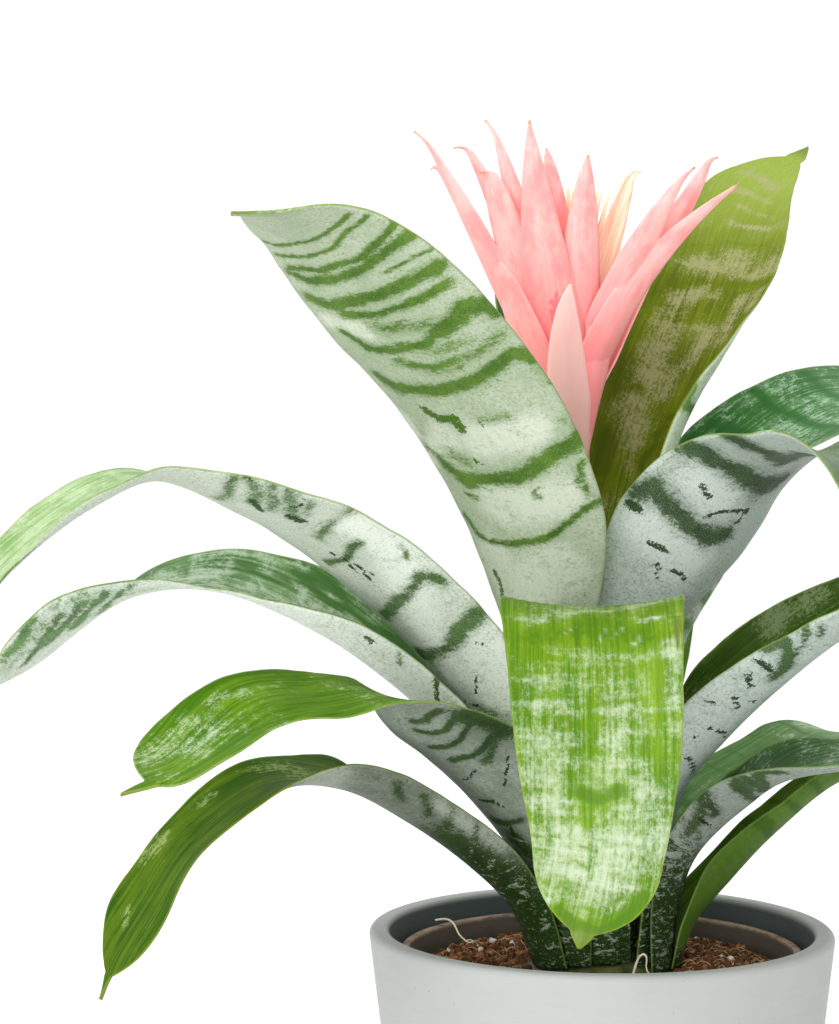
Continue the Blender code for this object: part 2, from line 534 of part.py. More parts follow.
def fuse(base, repeats, name, look):
    """One union of the base with all its repeats, which are then removed."""
    group = bpy.data.collections.new(name + "_repeats")
    bpy.context.scene.collection.children.link(group)
    for made in repeats:
        for old in list(made.users_collection):
            old.objects.unlink(made)
        group.objects.link(made)
    union = base.modifiers.new("union", "BOOLEAN")
    union.operation = "UNION"
    union.operand_type = "COLLECTION"
    union.collection = group
    union.solver = "EXACT"
    union.use_self = True
    bpy.context.view_layer.update()
    graph = bpy.context.evaluated_depsgraph_get()
    mesh = bpy.data.meshes.new_from_object(base.evaluated_get(graph))
    fill_hollows(mesh)
    base.modifiers.clear()
    base.data = mesh
    base.name = name
    mesh.name = name
    mesh.materials.clear()
    mesh.materials.append(look)
    for made in repeats:
        bpy.data.objects.remove(made, do_unlink=True)
    bpy.data.collections.remove(group)
    return base


def make_flower():
    """The pink stem and head: a slim core with every bract grown out of it."""
    profile = [
        (0, SCAPE_FOOT_HEIGHT),
        (SCAPE_RADIUS, SCAPE_FOOT_HEIGHT),
        (SCAPE_RADIUS, HEAD_NECK_HEIGHT),
        (HEAD_CORE_RADIUS, HEAD_CORE_HEIGHT),
        (HEAD_TOP_RADIUS, HEAD_TOP_HEIGHT),
        (0, HEAD_TOP_HEIGHT),
    ]
    core = lathe("flower_core", profile, HEAD_SIDES, None)
    for vert in core.data.vertices:
        lean = (vert.co.z / MM - SCAPE_FOOT_HEIGHT) / (HEAD_NECK_HEIGHT - SCAPE_FOOT_HEIGHT)
        vert.co.x += HEAD_X * MM * min(1.0, max(0.0, lean))
    bracts = [make_bract(f"bract_{i}", *bract) for i, bract in enumerate(BRACTS)]
    return fuse(core, bracts, "flower_head", material("bract_pink", (0.9, 0.42, 0.42), 0.55))


def make_floret(name, number):
    """One slim floret of the tuft in the head's middle."""
    turn = number * math.radians(FLORET_TURN)
    spread = math.sqrt((number + 0.5) / FLORET_COUNT)
    towards = math.sin(turn)
    out = Vector((math.cos(turn), towards if towards > 0 else FLORET_FRONT * towards, 0))
    foot = Vector((HEAD_X, 0, FLORET_FOOT + FLORET_LIFT)) + out * FLORET_RING * spread
    rise = FLORET_LENGTH * (1 - FLORET_OUTER_SHORTER * spread)
    tip = foot + out * FLORET_SPREAD * spread + Vector((0, 0, rise))
    bm = bmesh.new()
    bmesh.ops.create_cone(bm, segments=FLORET_SIDES, radius1=FLORET_RADIUS,
                          radius2=FLORET_TIP_RADIUS, depth=1.0, cap_ends=True)
    side = out.orthogonal().normalized()
    ahead = (tip - foot).normalized()
    side = (side - ahead * side.dot(ahead)).normalized()
    other = ahead.cross(side)
    for vert in bm.verts:
        vert.co = foot.lerp(tip, vert.co.z + 0.5) + side * vert.co.x + other * vert.co.y
    return add_object(name, bm)


def make_florets():
    profile = [
        (0, FLORET_FOOT),
        (FLORET_CORE_RADIUS, FLORET_FOOT),
        (FLORET_CORE_SHOULDER[0], FLORET_FOOT + FLORET_CORE_SHOULDER[1]),
        (0, FLORET_FOOT + FLORET_CORE_HEIGHT),
    ]
    core = lathe("floret_core", profile, FLORET_CORE_SIDES, None)
    for vert in core.data.vertices:
        vert.co.x += HEAD_X * MM
    spikes = [make_floret(f"floret_{i}", i) for i in range(FLORET_COUNT)]
    return fuse(core, spikes, "flower_florets", material("floret_cream", (0.93, 0.72, 0.5), 0.6))


def main():
    clear_scene()
    make_planter()
    make_nursery_pot()
    make_soil()
    make_crown()
    green = material("leaf_green", (0.2, 0.36, 0.14), 0.5)
    for name, leaf in LEAVES.items():
        make_leaf(name, leaf, green)
    make_flower()
    make_florets()


main()
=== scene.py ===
# %% [markdown]
# # A potted aechmea
# The plant is a silver-banded bromeliad with one pink flower head. It stands in a brown nursery
# pot, and that pot stands loose in a pale round planter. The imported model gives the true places
# and sizes of all of them. This lesson gives each of them its fine shape and its finish.

import math
import random

import bmesh
import bpy
import numpy as np
from mathutils import Matrix, Vector, noise


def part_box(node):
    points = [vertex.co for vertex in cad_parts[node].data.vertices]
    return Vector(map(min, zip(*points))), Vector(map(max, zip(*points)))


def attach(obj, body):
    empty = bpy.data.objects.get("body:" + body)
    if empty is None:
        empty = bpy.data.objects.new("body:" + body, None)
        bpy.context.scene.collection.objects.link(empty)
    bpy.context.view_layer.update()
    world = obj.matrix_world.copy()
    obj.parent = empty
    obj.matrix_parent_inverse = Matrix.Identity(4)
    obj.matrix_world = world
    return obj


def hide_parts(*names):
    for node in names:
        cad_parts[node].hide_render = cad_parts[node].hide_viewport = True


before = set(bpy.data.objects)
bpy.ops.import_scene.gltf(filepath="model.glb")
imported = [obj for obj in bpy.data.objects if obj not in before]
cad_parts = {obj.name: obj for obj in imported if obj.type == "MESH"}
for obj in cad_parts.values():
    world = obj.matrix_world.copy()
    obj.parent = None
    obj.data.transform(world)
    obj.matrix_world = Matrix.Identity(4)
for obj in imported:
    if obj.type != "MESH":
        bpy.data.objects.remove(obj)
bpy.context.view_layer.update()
MM = 0.001
print("nodes in the model:", len(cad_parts))

# %% [markdown]
# The photograph was taken level, from a little to the left of the plant, with a long lens. A
# camera with the same place and lens gives the same crossings of leaves. The picture is taller
# than wide, so the sensor's 36 mm lie along its height.

# %% Camera
CAMERA_PLACE = (-0.0587, -0.680, 0.2705)
CAMERA_LENS = 73.55


def add_object(name, data):
    made = bpy.data.objects.new(name, data)
    bpy.context.scene.collection.objects.link(made)
    return made


camera_data = bpy.data.cameras.new("camera")
camera_data.lens = CAMERA_LENS
camera = add_object("camera", camera_data)
camera.location = CAMERA_PLACE
camera.rotation_euler = (math.radians(90), 0, 0)
bpy.context.scene.camera = camera
print("camera lens:", camera_data.lens, "mm")

# %% [markdown]
# The light in a white studio comes from everywhere, with one large soft lamp on the left and
# above. A white world gives the first. Area lamps give the second, with weaker ones in front and
# behind: the larger a lamp is, the softer its shadows. The plain view transform keeps the white
# of the world white.

# %% Light and floor
WORLD_LIGHT = 1.06
LAMPS = {
    "front_lamp": dict(place=(-0.5, -1.6, 0.55), size=0.9, power=12.0),
    "key_lamp": dict(place=(-1.2, -1.1, 1.8), size=1.0, power=20.0),
    "back_lamp": dict(place=(1.2, 1.3, 1.5), size=1.2, power=5.0),
}
LAMP_AIM = Vector((0, 0, 0.25))
FLOOR_SIZE = 60.0
FLOOR_WHITE = (0.97, 0.97, 0.97, 1)
FLOOR_ROUGHNESS = 0.9

bpy.context.scene.view_settings.view_transform = "Standard"
world = bpy.data.worlds.new("studio")
world.use_nodes = True
background = world.node_tree.nodes["Background"]
background.inputs["Color"].default_value = (1, 1, 1, 1)
background.inputs["Strength"].default_value = WORLD_LIGHT
bpy.context.scene.world = world

for lamp_name, lamp in LAMPS.items():
    lamp_data = bpy.data.lights.new(lamp_name, "AREA")
    lamp_data.size = lamp["size"]
    lamp_data.energy = lamp["power"]
    lamp_object = add_object(lamp_name, lamp_data)
    lamp_object.location = lamp["place"]
    aim = LAMP_AIM - Vector(lamp["place"])
    lamp_object.rotation_euler = aim.to_track_quat("-Z", "Y").to_euler()

floor_mesh = bmesh.new()
bmesh.ops.create_grid(floor_mesh, x_segments=1, y_segments=1, size=FLOOR_SIZE)
floor_data = bpy.data.meshes.new("floor")
floor_mesh.to_mesh(floor_data)
floor_mesh.free()
floor = add_object("floor", floor_data)
floor_look = bpy.data.materials.new("floor_white")
floor_look.use_nodes = True
floor_shader = floor_look.node_tree.nodes["Principled BSDF"]
floor_shader.inputs["Base Color"].default_value = FLOOR_WHITE
floor_shader.inputs["Roughness"].default_value = FLOOR_ROUGHNESS
floor_data.materials.append(floor_look)
print("lamps:", len(LAMPS))

# %% [markdown]
# ## Tools for materials
# A material is a chain of nodes. Written out one by one, the nodes hide what they do, so a few
# short helpers add a node, feed its sockets and hand back its output. A value that is a number
# sets the socket, and a value that is another node's output is linked to it. Each output knows
# the tree it belongs to, so only the first nodes of a chain need the material itself.

# %% Helpers that add shader nodes
def put(tree, kind, output=0, values=None, **settings):
    """Add a node, set or link its inputs and return one of its outputs."""
    made = tree.nodes.new("ShaderNode" + kind)
    for name, value in settings.items():
        setattr(made, name, value)
    for name, value in (values or {}).items():
        if isinstance(value, bpy.types.NodeSocket):
            tree.links.new(value, made.inputs[name])
        else:
            made.inputs[name].default_value = value
    return made.outputs[output]


def new_look(name, roughness=0.5, specular=0.3):
    look = bpy.data.materials.new(name)
    look.use_nodes = True
    shader = look.node_tree.nodes["Principled BSDF"]
    shader.inputs["Roughness"].default_value = roughness
    shader.inputs["Specular IOR Level"].default_value = specular
    return look


def dress(look, tone, height, strength, distance, roughness=None):
    """Link a colour to a look, and a height that raises its surface, distance in millimetres."""
    tree = look.node_tree
    inputs = tree.nodes["Principled BSDF"].inputs
    steps = {"Height": height, "Strength": strength, "Distance": distance * MM}
    tree.links.new(tone, inputs["Base Color"])
    tree.links.new(put(tree, "Bump", values=steps), inputs["Normal"])
    if roughness:
        tree.links.new(roughness, inputs["Roughness"])
    print(f"{look.name}: {len(tree.nodes)} nodes")
    return look


def place_on(look):
    """Metres along X, Y and Z, from the object's origin."""
    return put(look.node_tree, "TexCoord", output="Object")


def part_of(vector, axis):
    return put(vector.id_data, "SeparateXYZ", output=axis, values={"Vector": vector})


def compute(operation, a, b=0.0):
    return put(a.id_data, "Math", operation=operation, values={0: a, 1: b})


def grain(vector, scale, shift=0.0, detail=4.0, roughness=0.6, warp=0.0):
    """Noise with its own scale along each axis of the vector."""
    moves = {"Vector": vector, "Location": (shift, shift * 0.7, shift * 0.3), "Scale": scale}
    placed = put(vector.id_data, "Mapping", values=moves)
    sizes = {"Scale": 1.0, "Detail": detail, "Roughness": roughness, "Distortion": warp}
    return put(vector.id_data, "TexNoise", values={"Vector": placed} | sizes)


def between(value, low, high, most=1.0):
    """0 below low, most above high and a smooth step between them."""
    ends = {"From Min": low, "From Max": high, "To Max": most}
    return put(value.id_data, "MapRange", interpolation_type="SMOOTHSTEP", values={"Value": value} | ends)


def blend(share, first, second):
    """Mix two colours, each a socket or three numbers."""
    ends = [c if isinstance(c, bpy.types.NodeSocket) else (*c, 1.0) for c in (first, second)]
    return put(share.id_data, "Mix", 2, {0: share, 6: ends[0], 7: ends[1]}, data_type="RGBA")


# %% [markdown]
# ## Tools for pieces
# Every piece is shaped as a bmesh in millimetres. One helper then turns it into an object in
# metres, at the origin, tells the frame which body it rides on and which finish it has, and hides
# the node of the model that it stands for. Round things are profiles turned about an axis, and a
# modifier gives a thin sheet its thickness.

# %% Helpers that make pieces
def make_piece(bm, name, looks, nodes=()):
    bmesh.ops.scale(bm, vec=(MM, MM, MM), verts=bm.verts)
    mesh = bpy.data.meshes.new(name)
    bm.to_mesh(mesh)
    bm.free()
    for look in looks:
        mesh.materials.append(look)
    mesh.shade_smooth()
    piece = add_object(name, mesh)
    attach(piece, "root")
    if nodes:
        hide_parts(*nodes)
    print(f"{name}: {len(mesh.polygons)} faces")
    return piece


def thicken(piece, thickness):
    """Give a sheet its thickness in millimetres, less of it where a vertex weighs less."""
    piece.vertex_groups.new(name="thick")
    solid = piece.modifiers.new("thickness", "SOLIDIFY")
    solid.thickness = thickness * MM
    solid.offset = 0.0
    solid.vertex_group = "thick"
    return solid


def arc(radius, height, size, first, last, steps=8):
    """Points of a rounded edge about a centre, as (radius, height) pairs."""
    turns = np.radians(np.linspace(first, last, steps + 1))
    return [(radius + size * math.cos(a), height + size * math.sin(a)) for a in turns]


def spin(bm, profile, sides, merge):
    """Turn a profile round the Z axis inside a bmesh and return the new vertices."""
    before = set(bm.verts)
    verts = [bm.verts.new((r, 0.0, z)) for r, z in profile]
    edges = [bm.edges.new(pair) for pair in zip(verts, verts[1:])]
    bmesh.ops.spin(bm, geom=verts + edges, cent=(0, 0, 0), axis=(0, 0, 1), angle=2 * math.pi,
                   steps=sides, use_merge=True)
    made = [vert for vert in bm.verts if vert not in before]
    bmesh.ops.remove_doubles(bm, verts=made, dist=merge)
    return [vert for vert in bm.verts if vert not in before]


def lathe(profile, sides):
    """A turned shape of its own, from the axis round to the axis."""
    bm = bmesh.new()
    spin(bm, profile, sides, 0.005)
    bmesh.ops.recalc_face_normals(bm, faces=bm.faces)
    return bm


def subdivided(points, step):
    """The same profile with points no further apart than step."""
    dense = [points[0]]
    for (r0, z0), (r1, z1) in zip(points, points[1:]):
        count = max(1, math.ceil(math.hypot(r1 - r0, z1 - z0) / step))
        dense += [(r0 + (r1 - r0) * i / count, z0 + (z1 - z0) * i / count) for i in range(1, count + 1)]
    return dense


# %% [markdown]
# ## The planter
# The planter is thick stoneware with a soft round rim. A round pot could be cut from cylinders,
# but a turned profile gives the rim its true round in one step. The radius and height come from
# the model's own box.

# %% Planter sizes
PLANTER_WALL = 6.5
PLANTER_FLOOR = 8.0
PLANTER_TAPER = 0.119
PLANTER_RIM_ROUND = 2.0
PLANTER_FOOT_ROUND = 2.0
PLANTER_SIDES = 160
PLANTER_STEP = 12

planter_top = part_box("planter")[1]
PLANTER_RADIUS = round(planter_top.x / MM, 2)
PLANTER_HEIGHT = round(planter_top.z / MM, 2)
print("planter:", 2 * PLANTER_RADIUS, "mm across and", PLANTER_HEIGHT, "mm tall")

# %% [markdown]
# Its glaze is matt and pale, with soft clouds, faint turning lines and a few brown specks. The
# inside is painted darker, as painted shade for the deep gap round the nursery pot. A mask of the
# wall's own slope finds the inside, so that both sides of the planter can stay one finish.

# %% Planter glaze
# Where the painted shade inside the planter begins: millimetres from the inner wall, and from the rim.
INSIDE_SHADE_EDGE = (1.4, 0.6)
INSIDE_SHADE_TOP = (0.5, -2.5)


def planter_glaze():
    look = new_look("planter_glaze", roughness=0.55, specular=0.35)
    place = place_on(look)
    x, y, height = (part_of(place, axis) for axis in "XYZ")
    flat = put(look.node_tree, "CombineXYZ", values={"X": x, "Y": y, "Z": 0.0})
    from_axis = put(look.node_tree, "VectorMath", "Value", {0: flat}, operation="LENGTH")
    straight = compute("SUBTRACT", from_axis, compute("MULTIPLY", height, PLANTER_TAPER))
    inner = PLANTER_RADIUS - PLANTER_WALL - PLANTER_TAPER * PLANTER_HEIGHT
    cloud = grain(place, (18, 18, 18), 3.0, detail=3)
    streak = grain(place, (60, 60, 420), 7.0, detail=5, roughness=0.7)
    faint = compute("MULTIPLY", streak, 0.3)
    speck = between(grain(place, (420, 420, 420), 1.0, detail=2), 0.745, 0.765)
    tone = blend(between(cloud, 0.3, 0.7), (0.345, 0.357, 0.343), (0.375, 0.387, 0.372))
    tone = blend(between(streak, 0.5, 0.8, 0.3), tone, (0.31, 0.325, 0.31))
    tone = blend(speck, tone, (0.26, 0.18, 0.12))
    # Painted shade: below the rim the inner wall is darkened almost to black, for the gap round the nursery
    # pot.
    inside = between(straight, *((inner + edge) * MM for edge in INSIDE_SHADE_EDGE))
    low = between(height, *((PLANTER_HEIGHT + edge) * MM for edge in INSIDE_SHADE_TOP))
    tone = blend(compute("MULTIPLY", inside, low), tone, (0.04, 0.055, 0.055))
    relief = compute("ADD", cloud, faint)
    return dress(look, tone, relief, 0.25, 0.5, roughness=compute("ADD", faint, 0.4))


glaze = planter_glaze()

# %% [markdown]
# The profile runs from the middle of the foot up the outside, over the rim and down the inside
# to the floor. Long straight parts are split, so that the faces stay near to square.

# %% Planter
def planter_profile():
    top = PLANTER_HEIGHT - PLANTER_RIM_ROUND
    foot = PLANTER_RADIUS - PLANTER_TAPER * PLANTER_HEIGHT
    inner_rim = PLANTER_RADIUS - PLANTER_WALL
    inner_foot = inner_rim - PLANTER_TAPER * (PLANTER_HEIGHT - PLANTER_FLOOR)
    profile = [(0, 0)]
    profile += arc(foot - PLANTER_FOOT_ROUND, PLANTER_FOOT_ROUND, PLANTER_FOOT_ROUND, -90, -7)
    profile += arc(PLANTER_RADIUS - PLANTER_RIM_ROUND, top, PLANTER_RIM_ROUND, -7, 90)
    profile += arc(inner_rim + PLANTER_RIM_ROUND, top, PLANTER_RIM_ROUND, 90, 173)
    return profile + [(inner_foot, PLANTER_FLOOR), (0, PLANTER_FLOOR)]


planter_shape = lathe(subdivided(planter_profile(), PLANTER_STEP), PLANTER_SIDES)
make_piece(planter_shape, "planter_body", [glaze], ["planter"])

# %% [markdown]
# ## The nursery pot
# The inner pot is thin blown plastic, dark grey-brown, and its lip is worn to tan where it has
# been handled. Only the lip and a little of the inside show. It is turned like the planter.

# %% Nursery pot
NURSERY_LIP_HEIGHT = 10.0
NURSERY_LIP_STEP = 2.6
NURSERY_FOOT_RADIUS = 45.0
NURSERY_WALL = 1.8
NURSERY_FLOOR = 2.0
NURSERY_EDGE = 0.8
NURSERY_SIDES = 128
NURSERY_STEP = 8

nursery_low, nursery_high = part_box("nursery_pot")
NURSERY_RADIUS = round(nursery_high.x / MM, 2)
NURSERY_HEIGHT = round(nursery_high.z / MM, 2)
NURSERY_FOOT = round(nursery_low.z / MM, 2)
NURSERY_WALL_TOP = NURSERY_HEIGHT - NURSERY_LIP_HEIGHT
NURSERY_SHOULDER = NURSERY_RADIUS - NURSERY_LIP_STEP


def nursery_inner(height):
    """Inside radius of the nursery pot at a height."""
    share = (height - NURSERY_FOOT) / (NURSERY_WALL_TOP - NURSERY_FOOT)
    return NURSERY_FOOT_RADIUS + (NURSERY_SHOULDER - NURSERY_FOOT_RADIUS) * share - NURSERY_WALL


def nursery_profile():
    floor_top = NURSERY_FOOT + NURSERY_FLOOR
    outer = NURSERY_RADIUS - NURSERY_EDGE
    inner = nursery_inner(NURSERY_HEIGHT) + NURSERY_EDGE
    top = NURSERY_HEIGHT - NURSERY_EDGE
    profile = [(0, NURSERY_FOOT), (NURSERY_FOOT_RADIUS, NURSERY_FOOT)]
    profile += [(NURSERY_SHOULDER, NURSERY_WALL_TOP), (outer, NURSERY_WALL_TOP)]
    profile += arc(outer, top, NURSERY_EDGE, 0, 90, 5)
    profile += arc(inner, top, NURSERY_EDGE, 90, 180, 5)
    return profile + [(nursery_inner(floor_top), floor_top), (0, floor_top)]


def nursery_plastic():
    look = new_look("nursery_plastic", roughness=0.6, specular=0.12)
    place = place_on(look)
    height = part_of(place, "Z")
    scuff = grain(place, (130, 130, 500), 2.0, detail=6, roughness=0.7)
    lip = between(height, (NURSERY_HEIGHT - 1.6) * MM, (NURSERY_HEIGHT - 0.3) * MM)
    worn = compute("MULTIPLY", lip, between(scuff, 0.3, 0.6))
    tone = blend(between(scuff, 0.4, 0.7), (0.020, 0.019, 0.013), (0.045, 0.042, 0.030))
    dusty = between(height, (NURSERY_HEIGHT - 12) * MM, (NURSERY_HEIGHT - 2) * MM, 0.7)
    tone = blend(dusty, tone, (0.12, 0.10, 0.08))
    tone = blend(worn, tone, (0.36, 0.25, 0.17))
    return dress(look, tone, scuff, 0.3, 0.2)


nursery_shape = lathe(subdivided(nursery_profile(), NURSERY_STEP), NURSERY_SIDES)
make_piece(nursery_shape, "nursery_pot_body", [nursery_plastic()], ["nursery_pot"])

# %% [markdown]
# ## The soil
# The mix is red-brown coir with crumbs, pale fibres and white perlite. All of them are rough
# grains of two tones, so one finish serves them, with colours and a grain size of their own.

# %% Soil materials
SOIL_TONES = {
    "soil_coir": ((0.045, 0.022, 0.010), (0.30, 0.14, 0.055), 220),
    "crumb_dark": ((0.035, 0.017, 0.009), (0.17, 0.075, 0.032), 400),
    "crumb_red": ((0.17, 0.075, 0.03), (0.42, 0.20, 0.085), 500),
    "perlite_white": ((0.55, 0.50, 0.44), (0.85, 0.82, 0.78), 900),
    "coir_fibre": ((0.34, 0.19, 0.09), (0.62, 0.42, 0.25), 300),
    "root_pale": ((0.68, 0.60, 0.45), (0.84, 0.78, 0.64), 500),
}
GRAIN_LIGHT = (1.6, 1.5, 1.4)


def crumb_look(name, dark, light, size):
    look = new_look(name, roughness=0.95, specular=0.1)
    place = place_on(look)
    patch = grain(place, (size, size, size), 1.0, detail=6, roughness=0.7)
    fine = grain(place, (2600, 2600, 2600), 4.0, detail=3)
    tone = blend(between(patch, 0.35, 0.65), dark, light)
    lit = [part * more for part, more in zip(light, GRAIN_LIGHT)]
    tone = blend(between(fine, 0.55, 0.8), tone, lit)
    return dress(look, tone, fine, 0.6, 0.3)


soil_looks = {name: crumb_look(name, *tones) for name, tones in SOIL_TONES.items()}

# %% [markdown]
# A flat brown disc would look painted, so the bed is a turned surface that noise makes lumpy. It
# fills the nursery pot with a little play, and it leaves a hole for the crown.

# %% Soil bed
SOIL_GAP = 0.3
SOIL_EDGE_HEIGHT = 121.5
SOIL_MOUND_HEIGHT = 124.5
SOIL_MOUND_RADIUS = 38.0
CROWN_RADIUS = 27.0
CROWN_EDGE_HEIGHT = 119.8
CROWN_ROOT_RADIUS = 6.0
CROWN_ROOT_HEIGHT = 101.0
SOIL_SIDES = 300
SOIL_RINGS = 42
SOIL_LUMP = 1.1
SOIL_EDGE = nursery_inner(SOIL_EDGE_HEIGHT) - SOIL_GAP


def soil_height(radius):
    """Height of the mound before its lumps, at a distance from the axis."""
    share = min(1.0, max(0.0, (SOIL_EDGE - radius) / (SOIL_EDGE - SOIL_MOUND_RADIUS)))
    return SOIL_EDGE_HEIGHT + (SOIL_MOUND_HEIGHT - SOIL_EDGE_HEIGHT) * math.sin(share * math.pi / 2)


def lump(x, y):
    """How far noise raises the soil at a point, in millimetres."""
    wide = noise.noise(Vector((x / 9, y / 9, 1.7)))
    fine = noise.noise(Vector((x / 2.6, y / 2.6, 9.1)))
    return SOIL_LUMP * (wide + 0.55 * fine)


def soil_bed():
    foot = NURSERY_FOOT + NURSERY_FLOOR + SOIL_GAP
    hole = CROWN_RADIUS + SOIL_GAP
    root = CROWN_ROOT_RADIUS + SOIL_GAP
    ledge = CROWN_EDGE_HEIGHT - SOIL_GAP
    bottom = CROWN_ROOT_HEIGHT - SOIL_GAP
    profile = [(0, foot), (nursery_inner(foot) - 2 * SOIL_GAP, foot), (SOIL_EDGE, SOIL_EDGE_HEIGHT)]
    profile += [(r, soil_height(r)) for r in np.linspace(SOIL_EDGE - 0.8, hole, SOIL_RINGS)]
    profile += [(hole, ledge), (root, ledge), (root, bottom), (0, bottom)]
    bm = lathe(profile, SOIL_SIDES)
    for vert in bm.verts:
        radius = math.hypot(vert.co.x, vert.co.y)
        if vert.co.z > SOIL_EDGE_HEIGHT - 0.1 and hole + 0.1 < radius < SOIL_EDGE - 0.1:
            vert.co.z += lump(vert.co.x, vert.co.y)
    return bm


make_piece(soil_bed(), "soil_bed", [soil_looks["soil_coir"]], ["soil"])

# %% [markdown]
# Crumbs and perlite lie on the bed as shapes of their own. Each is a small ball that is
# flattened, turned and dented by noise. A seeded draw puts each of them in its place.

# %% Crumbs and perlite
CRUMBS = 1700
PERLITE = 46
SCATTERED = [
    ("soil_crumbs_dark", "crumb_dark", CRUMBS, 0.5, 1.9, 0.25),
    ("soil_crumbs_red", "crumb_red", CRUMBS // 2, 0.4, 1.5, 0.35),
    ("soil_perlite", "perlite_white", PERLITE, 0.8, 2.0, 0.4),
]
CRUMB_MARGIN = 1.5
CRUMB_DENT = 0.35
CRUMB_DENT_SCALE = 0.9
random.seed(11)
noise.seed_set(11)


def place_on_soil(inner, outer):
    """A seeded place on the soil between two radii."""
    radius = math.sqrt(random.uniform(inner**2, outer**2))
    turn = random.uniform(0, 2 * math.pi)
    x, y = radius * math.cos(turn), radius * math.sin(turn)
    return Vector((x, y, soil_height(radius) + lump(x, y)))


def scatter(count, smallest, largest, sink):
    """Small uneven lumps that lie on the soil."""
    bm = bmesh.new()
    for _ in range(count):
        size = smallest + (largest - smallest) * random.random() ** 2
        place = place_on_soil(CROWN_RADIUS + CRUMB_MARGIN, SOIL_EDGE - CRUMB_MARGIN - size)
        angle = random.uniform(0, 2 * math.pi)
        axis = Vector((random.uniform(-1, 1), 1, random.uniform(-1, 1)))
        turn = Matrix.Rotation(angle, 4, axis)
        deep = size * random.uniform(0.5, 1.0)
        shape = Matrix.Diagonal((size, deep, size * random.uniform(0.4, 0.8), 1.0))
        seat = Matrix.Translation(place + Vector((0, 0, size * sink)))
        bmesh.ops.create_icosphere(bm, subdivisions=1, radius=1.0, matrix=seat @ turn @ shape)
    for vert in bm.verts:
        vert.co += CRUMB_DENT * noise.noise_vector(vert.co * CRUMB_DENT_SCALE) * smallest
    return bm


for name, look_name, *sizes in SCATTERED:
    make_piece(scatter(*sizes), name, [soil_looks[look_name]])

# %% [markdown]
# Fibres and roots are thin bent threads. A curve with a small round bevel needs only a few
# points for each, and a filled end closes it.

# %% Fibres and roots
FIBRES = 420
FIBRE_RADIUS = 0.16
ROOT_RADIUS = 0.4
THREAD_TAPER = 0.6
ROOTS = [
    [(-53.3, 35, 131), (-50, 34.5, 131.8), (-47.6, 33, 131), (-46.4, 28, 130), (-45.6, 22, 128.8),
     (-44, 17, 128.2), (-42.3, 13.3, 127.6), (-40.8, 14.8, 127.9), (-42, 16.4, 128.4), (-43.6, 14.8, 128)],
    [(7.4, -30, 125.5), (8.6, -30, 131), (10.6, -30.5, 133.6), (12, -31, 132.4), (11.4, -31, 129),
     (12.8, -32, 126.6), (15.4, -33, 126.2)],
]
random.seed(23)


def threads(name, paths, radius, look):
    """One curve object that holds a thread along each path, in millimetres."""
    data = bpy.data.curves.new(name, "CURVE")
    data.dimensions = "3D"
    data.bevel_depth = radius * MM
    data.bevel_resolution = 1
    data.resolution_u = 3
    data.use_fill_caps = True
    for path in paths:
        spline = data.splines.new("NURBS")
        spline.points.add(len(path) - 1)
        spline.use_endpoint_u = True
        spline.order_u = 3
        for i, (point, place) in enumerate(zip(spline.points, path)):
            point.co = (*(Vector(place) * MM), 1.0)
            point.radius = 1.0 - THREAD_TAPER * i / (len(path) - 1)
    data.materials.append(look)
    piece = add_object(name, data)
    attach(piece, "root")
    print(f"{name}: {len(paths)} threads")


def fibre():
    """A short bent fibre that lies on the soil."""
    place = place_on_soil(CROWN_RADIUS + 2, SOIL_EDGE - 4)
    turn = random.uniform(0, 2 * math.pi)
    length = random.uniform(2.5, 8.0)
    bend = random.uniform(-1.2, 1.2)
    lift = random.uniform(0.2, 1.6)
    path = []
    for share in (0.0, 0.33, 0.67, 1.0):
        angle = turn + bend * share
        x = place.x + length * (share - 0.5) * math.cos(angle)
        y = place.y + length * (share - 0.5) * math.sin(angle)
        path.append((x, y, place.z + 0.3 + lift * math.sin(math.pi * share)))
    return path


fibre_paths = [fibre() for _ in range(FIBRES)]
fibre_paths = [path for path in fibre_paths if max(math.hypot(x, y) for x, y, _ in path) < SOIL_EDGE - 1]
threads("soil_fibres", fibre_paths, FIBRE_RADIUS, soil_looks["coir_fibre"])
threads("dry_roots", ROOTS, ROOT_RADIUS, soil_looks["root_pale"])

# %% [markdown]
# ## The leaves
# Each leaf is one blade. It follows a path of stations from the crown to its tip, and it is
# hollow across like a gutter. The model uses a coarse grid for it. Here the same stations move
# a grid with about a row for each millimetre, so that the fine leaf stays where the model's is.
# A station holds the distance out, the height, the drift sideways, the roll in degrees, the
# radius of the hollow and the half width on each side, in millimetres.

